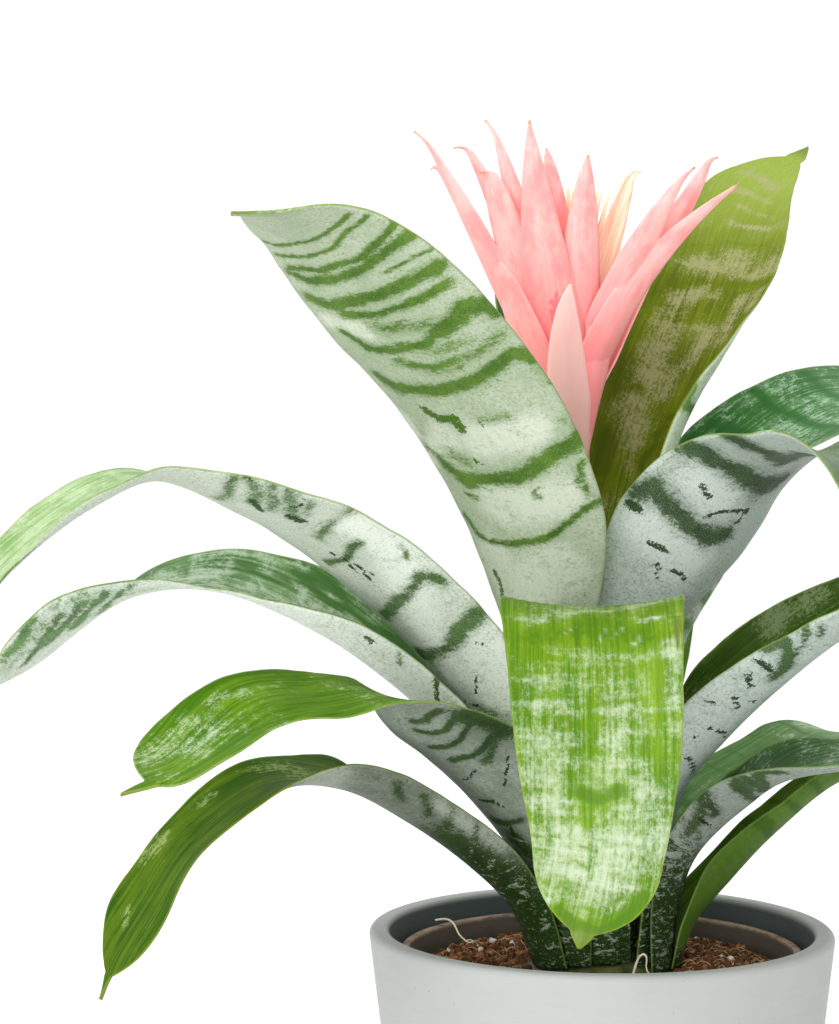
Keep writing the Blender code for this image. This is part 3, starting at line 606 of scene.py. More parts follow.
# %% Leaf paths
LEAVES = {
    "leaf_tall_left": dict(azimuth=237, width=60, taper=(0.76, 0.76), path=[
        (9, 131, 0, 0, 9, 9, 7.5), (12.6, 169.6, 1, -0.1, 12, 13.5, 6.8),
        (25.7, 215.5, 2, 2.6, 26, 26.7, 6.2), (49.7, 260.7, 2, -3, 50, 28.7, 25.5),
        (79.4, 294.6, 1, -1.6, 70, 29.8, 30.1), (114, 319.4, 0, 1.3, 80, 31.6, 29.3),
        (146.7, 340.5, 0, 0.8, 80, 31.2, 25.2), (171.3, 346.1, 0, 2.9, 60, 30.6, 27.6),
        (193.1, 344.4, 0, -2.4, 50, 29.9, 29.9)]),
    "leaf_tall_right": dict(azimuth=52, width=60, taper=(0.5, 0.68), tip=0.975, path=[
        (7, 132, 0, 0, 7, 7.5, 7.5), (9, 180, 0, 0, 9, 11.4, 11), (13.8, 230.1, 0, -0.1, 14, 21.3, 19.3),
        (28.1, 286.6, -1, -1.9, 17.4, 28, 25.7), (52.6, 324, -3, 2.2, 27, 28.3, 28.4),
        (80.6, 354.5, 0, 8.9, 45, 27.1, 28), (111.1, 387, 4, 18.7, 50, 27.1, 27.2),
        (143.8, 408.6, 0, 20.5, 50, 29.6, 30.6)]),
    "leaf_right_arching": dict(azimuth=312, width=62, path=[
        (11.5, 131, 0, 0, 11.5, 7.8, 7.8), (15, 183, -2, -4, 15, 7.5, 8),
        (22.5, 229, -10, -18, 30, 15.5, 18), (43.5, 260, -6, -14, 56, 29, 27.8),
        (65, 282.6, 0, -3, 70, 31, 28.6), (86.3, 287.6, 0, 1.5, 70, 30, 28.8),
        (105.5, 282.2, -1.5, 1, 68, 32, 31), (120.5, 257, -1, 0.8, 60, 31, 31),
        (131, 228, 0, 0, 50, 31, 31)]),
    "leaf_right_behind": dict(azimuth=18, width=60, path=[
        (13, 131, 0, 0, 13, 6, 7.5), (15, 195.1, 0, 0, 16, 6, 7.6), (25.1, 247.1, 0, 0.1, 30, 6, 10.7),
        (37.8, 273.4, 0, 6.3, 44, 16.2, 26.3), (56.7, 289.7, 0, 16.1, 57, 30, 30.3),
        (85.2, 305.5, 0, 19.4, 70, 30, 28), (113.5, 305.1, 0, 16.3, 80, 30, 31.5),
        (139.9, 286, 0, 10, 60, 30, 30.6), (160, 257.5, 0, 5, 50, 30, 29.9)]),
    "leaf_left_long": dict(azimuth=212, width=52, taper=(0.72, 0.72), path=[
        (14, 129, 0, 0, 14, 9.1, 10.4), (22.4, 164.8, 0, 4.1, 24, 9.4, 12.2),
        (40.6, 203.1, 0, 11.4, 36, 19.3, 20.1), (62.1, 231.7, 0, 12.7, 54, 26.5, 21.9),
        (92.7, 256.8, 0, 12.3, 72, 25.8, 22.2), (124.8, 271.2, 0, 4.7, 80, 26, 23.8),
        (156.5, 280, 0, 0.8, 74, 23.1, 19.3), (181.1, 271.1, 0, 2.5, 62, 25.2, 26.6),
        (205.4, 252.2, 0, 4.6, 50, 25.9, 26.6), (222.6, 228.9, 0, 4, 50, 26.1, 26.1)]),
    "leaf_left_twisted": dict(azimuth=188, width=50, taper=(0.8, 0.8), path=[
        (15.5, 128, 0, 0, 15, 9.5, 5.5), (25.8, 161.9, 0, 0, 19, 10.6, 5.5),
        (42.2, 191.7, 0, -3.9, 20, 22.3, 18.1), (62.8, 211.7, 0, -8.2, 21, 25.2, 23.9),
        (90.2, 233, 0, -16.8, 28, 27.3, 28.9), (120.6, 247, 0, -16, 42, 22.6, 20),
        (146, 245.6, 0, -0.4, 70, 24.2, 25.1), (170.7, 234.3, 0, 16.8, 80, 24.4, 24.1),
        (202.8, 210.5, 0, 22.7, 80, 24.6, 23.1)]),
    "leaf_left_blunt": dict(azimuth=222, width=42, taper=(0.82, 0.82), tip=0.955, blunt=3.2, path=[
        (19, 126, 0, 0, 19, 12.6, 11.6), (27.2, 156.1, 0, 1.1, 25, 20.9, 16.8),
        (52.2, 188.3, 0, 13.5, 35, 20.8, 22.7), (79, 205.6, 0, 9, 48, 17.1, 21.2),
        (93.8, 216.1, 0, -9.2, 60, 14.3, 17.5), (115.9, 215.7, 0, -18.5, 60, 18, 13.4),
        (139.1, 213.9, 0, -20.7, 60, 18.8, 10), (164.4, 200.7, 0, -0.3, 50, 25.1, 15.4),
        (185.7, 195.4, 0, -24.5, 50, 25.8, 25.9)]),
    "leaf_left_waved": dict(azimuth=200, width=40, taper=(0.78, 0.78), wave=2.2, path=[
        (21.7, 124.4, 0, 0, 21, 14, 14), (28.8, 142.6, 0, 5, 22, 16, 15),
        (43, 157.8, 0, 9.6, 27, 19.5, 19.2), (63, 172.9, 0, 12, 33, 20.2, 19.9),
        (88.7, 185.1, 0, 1.4, 38, 26.1, 25.7), (112.8, 186.1, 0, -5.6, 43, 17.9, 15.2),
        (136.4, 170.7, 0, -14.8, 54, 16.4, 15.1), (149.8, 151.8, 0, -14.6, 65, 17.2, 15.7),
        (159.4, 136.4, 0, -13.6, 60, 19.3, 23.1), (163.7, 125.1, 0, 0.4, 60, 20.2, 19.7)]),
    "leaf_front_hanging": dict(azimuth=264.5, width=52, taper=(0.9, 0.9), tip=0.985, blunt=2.8, path=[
        (17, 127, 0, 0, 17, 10.2, 10.2), (28, 170, 0, 0, 27, 10, 10), (46, 207.9, 0, 0, 44, 19.8, 19.8),
        (65.1, 235.4, -0.2, 0, 70, 25.5, 25.4), (88.3, 242.9, -1.2, 0.9, 97, 26.5, 26.1),
        (106.2, 230.4, -0.2, 0, 97, 24.8, 24.3), (118.1, 204.9, 0.5, 0, 95, 22.1, 22.7),
        (124.8, 178.8, 0.3, 0, 80, 17.3, 18), (128, 155, -4.3, 0, 70, 14.8, 15)]),
    "leaf_right_folded": dict(azimuth=332, width=58, path=[
        (19, 126, 0, 0, 19, 10.1, 8.7), (21.8, 155.1, 0, 5, 20, 11.4, 8.7),
        (28.3, 181.4, 0, 14.9, 20, 25.7, 17.4), (42, 198.8, 0, 20.1, 19, 29.9, 29.1),
        (61, 217.4, 0, 21.1, 21, 30.2, 29.5), (83.1, 234.6, 0, 19.1, 26, 26.9, 25.6),
        (108.5, 247, 0, 12.2, 37, 26.8, 24.4), (136.4, 243.7, 0, 5.2, 44, 27.3, 24.9),
        (160.5, 225.9, 0, 2.3, 50, 28, 25.9)]),
    "leaf_right_low": dict(azimuth=340, width=46, path=[
        (23, 124, 0, 0, 20, 11.5, 11.5), (25, 143, 0, 0.6, 18, 14, 13), (31.5, 161, 0, 2.8, 19, 19, 20),
        (47.4, 177.3, 0, 3.3, 24, 25, 23.3), (66, 190.2, 0, 16.8, 32, 26.2, 16.1),
        (97.3, 194.1, 0, 15.3, 43, 22.1, 7), (132.6, 185.7, 0, 10.5, 52, 20.2, 6.3),
        (161.3, 166, 0, 4.3, 50, 18.8, 7.9)]),
    "leaf_right_back_low": dict(azimuth=28, width=44, path=[
        (21, 125, 0, 0, 21, 5, 11), (26, 148, 0, 0, 22, 5, 15.4), (37, 167, 0, 0, 28, 7.1, 21.6),
        (51, 177, 0, 0, 40, 18.2, 22), (70, 185.5, 0, 0, 57, 22, 22), (92, 194, 0, 0, 60, 22, 22),
        (110, 188, 0, 0, 60, 22, 22)]),
    "leaf_right_lowest": dict(azimuth=3, width=42, path=[
        (25, 123, 0, 0, 20, 12.6, 12.6), (30.3, 137.4, 0, 0.3, 17, 15, 15.4),
        (41.6, 150.5, 0, -3.5, 16, 20, 16), (56.7, 166.8, 0, 1.3, 18, 20.2, 14.2),
        (77.5, 183, 0, -1.2, 25, 20, 14.7), (102.1, 190.1, 0, -0.7, 35, 20.3, 15),
        (126.3, 186.7, 0, 3, 45, 20.7, 17.4), (144.1, 174.2, 0, 5.8, 50, 21.1, 20.4)]),
    "leaf_back_tall": dict(azimuth=96, width=50, taper=(0.78, 0.78), blunt=3.0, path=[
        (9, 131, 0, 0, 9, 7, 8.2), (13, 175, 0, 0, 13, 7, 8.2), (21, 225, 0, 0, 22, 7, 13.1),
        (37, 275, 0, 0, 40, 15.1, 23.7), (58, 320, 0, 0, 53, 25, 25), (80, 355, 1, 0, 64, 25, 25),
        (104, 386, 3, 0, 60, 25, 25)]),
    "leaf_right_inner": dict(azimuth=11, width=31, taper=(0.7, 0.7), path=[
        (15, 130, 0, 0, 15, 5.9, 5.9), (16.9, 169.8, 0, 0, 17, 6, 6.1),
        (18.8, 201.9, 0, 0.2, 18, 11.9, 12), (27.2, 228.4, 0, 1.4, 18, 15.6, 15.5),
        (39.9, 249.7, 0, 2.2, 18, 15.5, 15.5), (52.6, 269.6, 0, 2.6, 20, 15.3, 15.5),
        (64.6, 288.1, 0, 2.3, 24, 15, 15.5)]),
    "leaf_back_right": dict(azimuth=75, width=54, path=[
        (17, 129, 0, 0, 17, 10.2, 10.2), (22, 170, 0, 0, 22, 15.7, 15.7), (36, 213, 0, 0, 35, 26.6, 26.6),
        (58, 246, 0, 0, 51, 27, 27), (90, 264, 0, 0, 61, 27, 27), (126, 260, 0, 0, 67, 27, 27),
        (155, 238, 0, 0, 60, 27, 27)]),
    "leaf_back_left": dict(azimuth=131, width=38, path=[
        (17, 127, 0, 0, 17, 4.5, 4.5), (21, 150, 0, 0, 19, 6.6, 4.3), (30, 175, 0, 0, 27, 18.8, 6.2),
        (46, 193, 0, 0, 37, 19, 15.1), (66, 204, 0, 0, 52, 19, 19), (86, 209, 0, 0, 41, 19, 19),
        (100, 207, 0, 0, 40, 19, 19)]),
}
LEAF_DEFAULTS = dict(taper=(0.74, 0.74), tip=0.965, blunt=2.2, wave=0.0)
print("leaves:", len(LEAVES))

# %% [markdown]
# A blade has to widen, hollow out and roll over without a kink between its stations. So one
# smooth curve is laid through each of their values. The end of the blade is rounded off, and a
# small sharp point is left on it.

# %% Shape of a blade
LEAF_ROUNDNESS = 0.7
LEAF_POINT = 0.11
LEAF_POINT_END = 0.012
PATH_SAMPLES = 241
PATH_REACH = 0.004


def through(values, share):
    """A smooth curve through evenly spaced values, read at shares from 0 to 1."""
    v = np.asarray(values, float)
    last = len(v) - 1
    v = np.concatenate([[2 * v[0] - v[1]], v, [2 * v[-1] - v[-2]]])
    place = np.clip(share * last, 0, last - 1e-9)
    i = place.astype(int)
    f = (place - i)[:, None]
    a, b, c, d = v[i], v[i + 1], v[i + 2], v[i + 3]
    return 0.5 * (2 * b + (c - a) * f + (2 * a - 5 * b + 4 * c - d) * f**2 + (3 * b - a - 3 * c + d) * f**3)


def ease(first, last, x):
    x = np.clip((x - first) / (last - first), 0, 1)
    return x * x * (3 - 2 * x)


def rounded_ends(leaf, u, sides):
    """The half widths of both sides, narrowed to the blade's end and its small point."""
    tip = leaf["tip"]
    narrowed = []
    for body, taper in zip(sides, leaf["taper"]):
        x = np.clip((u - taper) / (tip - taper), 0, 1)
        rounded = (1 - x ** leaf["blunt"]) ** LEAF_ROUNDNESS
        point = LEAF_POINT * np.clip((1 - u) / (1 - tip), 0, 1) + LEAF_POINT_END
        narrowed.append(np.maximum(body * rounded, leaf["width"] / 2 * point * ease(taper, tip, u)))
    return narrowed


def unit(rows):
    return rows / np.linalg.norm(rows, axis=1)[:, None]


def leaf_frame(leaf, u):
    """Midrib, directions across and over the blade, hollow, half widths and length, at shares u."""
    path = np.array(leaf["path"], float)
    fine = np.linspace(0, 1, PATH_SAMPLES)
    steps = np.linalg.norm(np.diff(through(path[:, :3], fine), axis=0), axis=1)
    length = np.concatenate([[0], np.cumsum(steps)])
    t = np.interp(u * length[-1], length, fine)
    turn = math.radians(leaf["azimuth"])
    side = np.array([-math.sin(turn), math.cos(turn), 0])
    axes = np.array([(math.cos(turn), math.sin(turn), 0), (0, 0, 1), side])
    places = [through(path[:, :3], np.clip(t + reach, 0, 1)) @ axes for reach in (0, PATH_REACH, -PATH_REACH)]
    along = unit(places[1] - places[2])
    across = unit(side - (along @ side)[:, None] * along)
    over = np.cross(along, across)
    roll, hollow, left, right = through(path[:, 3:], t).T
    c, s = np.cos(np.radians(roll))[:, None], np.sin(np.radians(roll))[:, None]
    sides = rounded_ends(leaf, u, (left, right))
    return places[0], across * c + over * s, over * c - across * s, hollow, sides, length[-1]


lengths = [leaf_frame(LEAF_DEFAULTS | leaf, np.array([0.0]))[5] for leaf in LEAVES.values()]
print("blades from", round(min(lengths)), "to", round(max(lengths)), "mm long")

# %% [markdown]
# Dark cross-bands, rubbed spots and pale patches make each leaf its own. They are drawn as
# strokes on the flat blade. A stroke holds half its width, its strength, and then points, each as
# millimetres along and across. Noise frays it later, so a few points are enough.

# %% Strokes on the leaves
MARKS = {
    "leaf_tall_left": dict(
        band=[(0.9, 0.9, 267, -26, 266, -21, 269, -12, 274, 1, 282, 14),
            (0.9, 0.9, 260, -26, 262, -12, 267, 0, 275, 10, 278, 17),
            (0.7, 0.8, 253, 7, 255, 15, 257, 24), (1.2, 0.7, 208, 25, 203, 29, 196, 30),
            (1.2, 0.6, 182, 27, 179, 29, 175, 30), (2.8, 0.45, 223, -4, 219, 4, 220, 17),
            (3.2, 0.5, 211, 3, 215, 18, 219, 26), (2.3, 0.5, 187, 4, 189, 13),
            (2.8, 0.6, 170, -21, 174, -12, 171, -9),
            (1.4, 1, 255, -24, 256, -12, 261, 6, 267, 14, 270, 21),
            (2.1, 1, 252, -26, 250, -20, 253, -4, 262, 14, 264, 22),
            (2.5, 1, 241, -26, 240, -18, 244, -2, 248, 13, 251, 23),
            (1.9, 0.9, 236, -16, 237, -3, 241, 14, 244, 22), (3.7, 0.55, 231, -8, 230, 4, 229, 15),
            (2.1, 0.95, 227, -22, 221, -17, 221, -9, 222, 4, 226, 10),
            (3.2, 1.1, 226, 10, 232, 21, 232, 28, 229, 29),
            (2.8, 1, 205, -23, 201, -19, 201, -11, 203, 3, 204, 12, 210, 25, 206, 30),
            (3.2, 1, 172, -26, 165, -20, 162, -14, 163, -5, 164, 8, 168, 15, 173, 30),
            (1.4, 1, 144, -25, 138, -22, 136, -17, 139, -1, 141, 9, 149, 23, 150, 28),
            (0.9, 0.9, 156, -17, 155, -12), (0.6, 0.8, 158, 9, 159, 12, 156, 11, 155, 10, 157, 8),
            (1.4, 0.8, 165, 27, 162, 25, 158, 24, 153, 25), (2.3, 0.7, 215, -9, 212, 1, 214, 9)],
        rub=[(2.0, 1, 191, -14, 187, -11, 189, -5, 184, -4), (1.0, 1, 190, 5, 184, 4),
            (1.0, 1, 172, -5, 170, -4), (1.4, 1, 125, -19, 120, -18, 115, -19),
            (0.6, 1, 127, -26, 127, -24)],
        pale=[(5.1, 1, 181, -29, 168, -29, 179, -12), (6.0, 1, 179, 0, 181, 17),
            (7.0, 1, 153, -5, 154, 16), (7.9, 1, 130, -16, 116, -15, 129, 8),
            (3.2, 1, 231, -25, 229, -13)]),
    "leaf_left_long": dict(
        band=[(2.4, 0.62, 209, 21, 206, 11, 201, -6), (3.1, 0.6, 205, 20, 199, 15, 196, 6),
            (2.6, 0.55, 199, 22, 193, 14, 190, 5), (3.1, 0.6, 194, 23, 189, 16, 182, 7),
            (2.1, 0.5, 186, 21, 181, 12), (2.1, 0.65, 173, 23, 173, 17, 172, 11, 168, 0),
            (1.8, 0.9, 161, 11, 159, 6, 157, 0, 155, -14), (0.8, 0.9, 152, 19, 149, 18, 147, 16),
            (2.4, 1, 134, 18, 137, 16, 139, 14, 136, 7, 134, 2, 131, -6, 126, -18),
            (2.9, 1, 120, 21, 118, 15, 115, 8, 111, 0, 108, -10, 108, -17),
            (2.6, 0.55, 87, -3, 85, 1, 82, 5), (1.3, 0.8, 283, 14, 278, 15, 271, 15)],
        rub=[(1.8, 1, 184, 7, 180, 6, 179, 7), (1.4, 1, 197, 8, 194, 5, 190, 2),
            (0.8, 1, 187, 13, 187, 18), (0.6, 1, 190, 20, 188, 22), (0.8, 1, 207, 21, 204, 20),
            (0.8, 1, 161, -5, 154, -2, 146, 0), (0.8, 1, 153, -5, 149, -4, 144, -3),
            (0.6, 1, 111, 12, 109, 14), (0.6, 1, 99, 4, 93, 0), (0.6, 1, 89, -8, 88, -3)],
        pale=[(6.3, 1, 144, 10, 121, -1, 102, -6), (5.2, 1, 168, 16, 153, 15), (7.9, 1, 107, 12, 92, 9)]),
    "leaf_left_twisted": dict(
        band=[(1.8, 1, 149, -20, 142, -18, 135, -15, 131, -16),
            (1.8, 1, 146, -19, 143, -22, 137, -23, 131, -21),
            (1.6, 1.1, 130, -18, 121, -17, 110, -20, 102, -21, 92, -20), (0.8, 0.7, 113, 26, 110, 21),
            (2.1, 0.7, 163, -15, 157, -13, 150, -13), (11.5, 0.36, 238, 9, 220, 10, 199, 16),
            (2.4, 0.9, 238, 11, 233, 14, 227, 20), (2.6, 0.9, 237, -3, 227, 4, 219, 14),
            (2.6, 0.9, 227, -1, 218, 6, 211, 16), (2.4, 0.9, 218, -2, 209, 10, 203, 19),
            (2.1, 0.8, 209, -3, 202, 11, 197, 22)],
        rub=[(1.2, 1, 124, 25, 121, 24), (1.0, 1, 98, 24, 93, 17)]),
    "leaf_right_arching": dict(
        band=[(4.1, 1, 185, -28, 185, -20, 185, -11, 179, 3, 196, -10),
            (4.5, 1, 167, -30, 169, -23, 167, -14, 167, -4, 165, 10, 167, 16),
            (3.8, 1, 145, -28, 148, -26, 147, -20, 145, -13, 144, -5, 142, 4, 146, 10)],
        rub=[(1.0, 1, 157, -14, 156, -10, 155, -7), (0.8, 1, 149, -3, 152, 1, 157, 12),
            (0.8, 1, 157, 12, 153, 12, 150, 10), (1.4, 1, 142, -27, 141, -23),
            (1.0, 1, 133, -14, 133, -10, 133, -6), (0.8, 1, 128, -1, 128, 3, 127, 7),
            (0.6, 1, 128, -7, 124, -3)],
        pale=[(5.5, 1, 159, -16, 156, -3), (6.9, 1, 138, -16, 133, 3)]),
    "leaf_right_folded": dict(
        band=[(2.4, 1, 116, -29, 121, -28, 119, -23, 115, -18, 110, -17),
            (1.0, 0.9, 130, -27, 124, -21, 118, -19), (1.0, 0.9, 133, -23, 130, -20)],
        rub=[(1.0, 1, 111, -27, 111, -20), (1.0, 1, 106, -25, 103, -20), (0.8, 1, 98, -22, 95, -17),
            (0.8, 1, 99, -16, 99, -13), (0.8, 1, 91, -26, 91, -24), (0.6, 1, 85, -20, 83, -18),
            (0.6, 1, 79, -21, 78, -19), (0.8, 1, 85, -16, 83, -9), (0.8, 1, 72, -18, 68, -8, 66, -6)],
        pale=[(5.8, 1, 112, 25, 121, 23)]),
    "leaf_right_low": dict(
        band=[(2.4, 1, 58, -24, 57, -22, 56, -15), (1.6, 1, 60, 23, 70, -25, 68, -19),
            (1.3, 1, 62, 22, 77, -25, 83, -23), (1.0, 1, 73, -25, 71, -10), (2.6, 0.8, 47, -16, 54, -19)],
        rub=[(0.8, 1, 52, -18, 51, -10)]),
    "leaf_left_blunt": dict(
        pale=[(7.9, 1, 195, -14, 190, -10, 186, -4), (2.6, 0.8, 173, -14, 167, -11)],
        band=[(1.3, 1, 113, 15, 109, 6, 109, 1), (1.3, 1, 107, 16, 102, 9, 102, 3, 104, -1),
            (1.3, 1, 99, 16, 95, 9, 93, 2, 93, -5), (1.3, 1, 89, 16, 86, 10, 85, 4, 84, -4),
            (5.2, 1.1, 105, 19, 97, 20, 88, 21), (2.4, 0.7, 89, 19, 85, 13, 81, 7),
            (1.3, 1, 53, -10, 52, -4, 54, 4), (3.7, 1, 46, -3, 40, 0)],
        rub=[(0.6, 1, 77, 0, 74, -5, 72, -9), (0.8, 1, 61, -9, 62, -3, 60, 0),
            (0.8, 1, 51, -2, 48, -3, 44, -4), (0.5, 1, 78, 13, 73, 9, 68, 5)]),
    "leaf_left_waved": dict(
        band=[(10.5, 1, 52, 0, 40, 4, 28, 9, 18, 11), (1.8, 0.55, 84, 20, 81, 15, 78, 12),
            (1.6, 0.5, 74, 18, 71, 15, 67, 10), (1.6, 0.5, 65, 19, 63, 15, 60, 8),
            (1.6, 0.5, 56, 19, 51, 12)],
        # Painted highlight: the pale strokes of strength 1.2 and 1.3 lay sheen where light glints on this
        # blade.
        pale=[(3.1, 1, 26, 14, 19, 11, 13, 11), (2.6, 1, 68, 17, 56, 16, 45, 17),
            (3.1, 1.2, 179, -3, 175, -6), (3.7, 1.2, 161, -14, 150, -12), (3.1, 1.2, 137, -10, 131, -10),
            (6.8, 1.3, 115, -13, 104, -13, 106, 19)]),
    "leaf_front_hanging": dict(
        pale=[(5.2, 0.6, 178, -18, 193, -17, 208, -14), (6.8, 0.6, 182, -10, 197, -9),
            (6.3, 0.6, 182, 4, 197, 5), (0.8, 2.4, 159, -8, 157, -5), (0.8, 2.4, 162, 1, 158, 3),
            (1.0, 2.4, 161, 5, 158, 8), (0.8, 2.4, 164, 11, 161, 13), (1.0, 1.6, 155, -18, 153, -13),
            (0.8, 2.2, 156, 13, 155, 18), (6.8, 0.9, 200, -17, 208, -14, 216, -11),
            (4.2, 0.9, 203, -19, 202, -2, 204, 15), (13.1, 1.1, 222, -11, 226, 2, 220, 13),
            (3.1, 0.9, 167, 21, 181, 21), (1.8, 1, 153, -20, 149, -1, 146, 19)],
        band=[(2.4, 0.55, 202, -8, 201, -3, 203, 1), (3.4, 0.8, 205, -5, 207, 1, 205, 6),
            (1.6, 0.6, 209, -4, 216, -3), (6.8, 0.6, 161, -18, 158, -1, 162, 15),
            (0.8, 0.6, 218, -18, 219, -13, 218, -10), (0.8, 0.6, 222, -17, 223, -13),
            (0.8, 0.6, 220, -5, 221, 0), (0.8, 0.6, 225, -5, 226, -2), (0.7, 0.5, 216, -3, 229, -1),
            (1.6, 0.55, 163, 17, 187, 17, 203, 16), (1.6, 0.45, 178, -1, 193, -1),
            (2.4, 0.8, 238, -8, 242, -2, 242, 5, 236, 11, 230, 14)],
        rub=[(0.8, 0.8, 157, 24, 166, 23)]),
    "leaf_tall_right": dict(
        pale=[(6.8, 1.1, 247, 11, 248, 6), (7.9, 1.1, 253, 0, 248, -6), (6.3, 1.1, 241, -14, 244, -19),
            (6.8, 1.1, 227, 13, 233, 5), (7.9, 1.1, 208, 10, 190, 11), (8.9, 1.1, 177, 12, 164, 12),
            (3.7, 1.1, 226, -13, 208, -12), (3.7, 1.1, 228, -20, 219, -20), (3.7, 1.1, 211, -4, 197, 0),
            (4.2, 1, 194, 3, 183, 4), (3.1, 1.1, 298, 10, 298, 3, 293, -5),
            (1.8, 1.1, 287, 8, 287, 0, 284, -7), (1.8, 1.1, 280, 4, 277, -3, 275, -9),
            (1.8, 1, 271, 5, 268, -4, 267, -10)],
        band=[(1.6, 0.5, 242, 1, 231, 3, 221, 5, 208, 5, 199, 6),
            (1.8, 0.5, 235, 16, 239, 7, 238, -3, 236, -13, 232, -21),
            (2.1, 0.5, 256, 19, 257, 12, 261, 4, 258, -4, 257, -13), (2.1, 0.5, 179, 22, 183, 12),
            (4.2, 0.6, 230, 22, 206, 25, 181, 24), (5.8, 0.8, 162, 17, 153, 16),
            (2.1, 1, 175, -28, 170, -29, 175, -3), (1.6, 1, 163, -1, 159, 2, 154, 2),
            (1.3, 1, 171, -3, 167, 1)]),
}
stroke_count = sum(len(strokes) for kinds in MARKS.values() for strokes in kinds.values())
print("strokes:", stroke_count)

# %% [markdown]
# The real blade is about a millimetre thick in its middle and thin at its edge, and the edge is
# never quite straight. Noise that grows towards the edge gives it that. Each vertex also learns
# where it is on the blade and how strongly the strokes mark it. The finishes read those values.

# %% Blade mesh
LEAF_THICKNESS = 1.2
LEAF_EDGE_SHARE = 0.4
LEAF_ROW = 1.2
LEAF_COLUMNS = 32
LEAF_ROW_CLOSING = 1.15
EDGE_START = (0.15, 0.4)
EDGE_FULL_WIDTH = 8
EDGE_RIPPLE = 0.8
EDGE_NICK = 0.35
NERVE_DEPTH = 0.12
WAVE_COUNT = 4.0
WAVE_EDGE = 2.5
WAVE_START = (0.35, 0.6)
STROKE_DRIFT = (1.6, 0.8)


def drawn_strokes(length, seed):
    """Cross-bands for a leaf that has no strokes of its own."""
    draw = random.Random(seed)
    strokes = []
    place = 0.34 * length
    while place < length * 0.97:
        lean, bow = draw.uniform(-0.15, 0.15), draw.uniform(-4, 1)
        points = [(place + lean * a + bow * (a / 25) ** 2, a) for a in (-26, -13, 0, 13, 26)]
        size, strength = draw.uniform(1.0, 2.8), draw.uniform(0.6, 1.0)
        strokes.append((size, strength, *np.ravel(points)))
        place += draw.uniform(9, 24) * (1.25 - 0.7 * place / length)
    return {"band": strokes}


def stroke_field(strokes, places):
    """How strongly strokes mark each place on the flat blade, from 0 to about 1."""
    field = np.zeros(len(places))
    for size, strength, *numbers in strokes:
        points = np.array(numbers, float).reshape(-1, 2)
        for a, b in zip(points, points[1:]):
            share = np.clip((places - a) @ (b - a) / max(1e-6, (b - a) @ (b - a)), 0, 1)
            away = np.linalg.norm(places - a - share[:, None] * (b - a), axis=1)
            field = np.maximum(field, strength * np.exp(-(away / size) ** 2))
    return field


def noise_row(*columns):
    return np.array([noise.noise(Vector(point)) for point in zip(*columns)])


def set_values(bm, values):
    """Let every vertex hold its value of each name."""
    for key, numbers in values.items():
        layer = bm.verts.layers.float.new(key)
        for vert, number in zip(bm.verts, numbers):
            vert[layer] = number


def make_leaf(name, leaf, seed, looks):
    leaf = LEAF_DEFAULTS | leaf
    length = leaf_frame(leaf, np.array([0.0]))[5]
    bm = bmesh.new()
    bmesh.ops.create_grid(bm, x_segments=round(length / LEAF_ROW), y_segments=LEAF_COLUMNS, size=1.0)
    flat = np.array([vert.co for vert in bm.verts])
    u = 1 - ((1 - flat[:, 0]) / 2) ** LEAF_ROW_CLOSING
    v = flat[:, 1]
    same = np.ones(len(u))
    centre, across, over, hollow, (left, right), _ = leaf_frame(leaf, u)
    half = np.where(v < 0, left, right)
    middle = (left + right) / 2
    wobble = noise_row(u * length / 14, np.sign(v), same * seed)
    nicks = noise_row(u * length / 5, 3 * np.sign(v), same * (seed + 50))
    free = ease(*EDGE_START, u) * np.minimum(1, middle / EDGE_FULL_WIDTH)
    half = half - EDGE_NICK * free * (0.5 + 0.5 * nicks) * np.abs(v) ** 4
    turn = half * v / hollow
    x = hollow * np.sin(turn)
    y = hollow * (1 - np.cos(turn))
    width = np.minimum(1, 2 * middle / leaf["width"])
    wave = leaf["wave"] * ease(*WAVE_START, u) * width**2 * np.abs(v) ** WAVE_EDGE
    y = y + wave * np.sin(2 * math.pi * (WAVE_COUNT * u + 0.25 * np.sign(v)))
    y = y + EDGE_RIPPLE * free * wobble * np.abs(v) ** 3
    y = y + NERVE_DEPTH * free * np.cos(math.pi * np.round(v * LEAF_COLUMNS / 2))
    for vert, place in zip(bm.verts, centre + across * x[:, None] + over * y[:, None]):
        vert.co = place
    blade = np.stack([u * length, half * v], axis=1)
    drift = noise_row(u * length / 18, half * v / 9, same * (seed + 9))
    places = blade + drift[:, None] * STROKE_DRIFT
    strokes = MARKS.get(name) or drawn_strokes(length, seed)
    set_values(bm, {kind: stroke_field(strokes.get(kind, []), places) for kind in ("band", "rub", "pale")})
    set_values(bm, {"share": u, "rim": half * (1 - np.abs(v)), "foot": u * length})
    deform = bm.verts.layers.deform.new()
    thick = 1 - (1 - LEAF_EDGE_SHARE) * np.abs(v) ** 3
    for vert, number in zip(bm.verts, thick):
        vert[deform][0] = number
    uv = bm.loops.layers.uv.new("blade")
    flat_map = blade / 10
    for face in bm.faces:
        for loop in face.loops:
            loop[uv].uv = flat_map[loop.vert.index]
    solid = thicken(make_piece(bm, name + "_blade", looks, [name]), LEAF_THICKNESS)
    solid.material_offset = 1
    solid.material_offset_rim = 0


# %% [markdown]
# The underside of the blade is green, but scales cover it with silver, apart from the dark
# cross-bands. The silver is rubbed off in places. The finish starts from the band value that
# each vertex holds, frays it with streaky noise, and lays silver over green with it.

# %% Underside finish
FOOT_DARK = (0.016, 0.042, 0.005)
FOOT_GREY = (0.26, 0.29, 0.22)
UNDER_EDGE = (0.20, 0.28, 0.08)


def blade_of(look):
    """Centimetres along and across the blade."""
    return put(look.node_tree, "UVMap", uv_map="blade")


def value_of(look, name):
    return put(look.node_tree, "Attribute", "Fac", attribute_name=name)


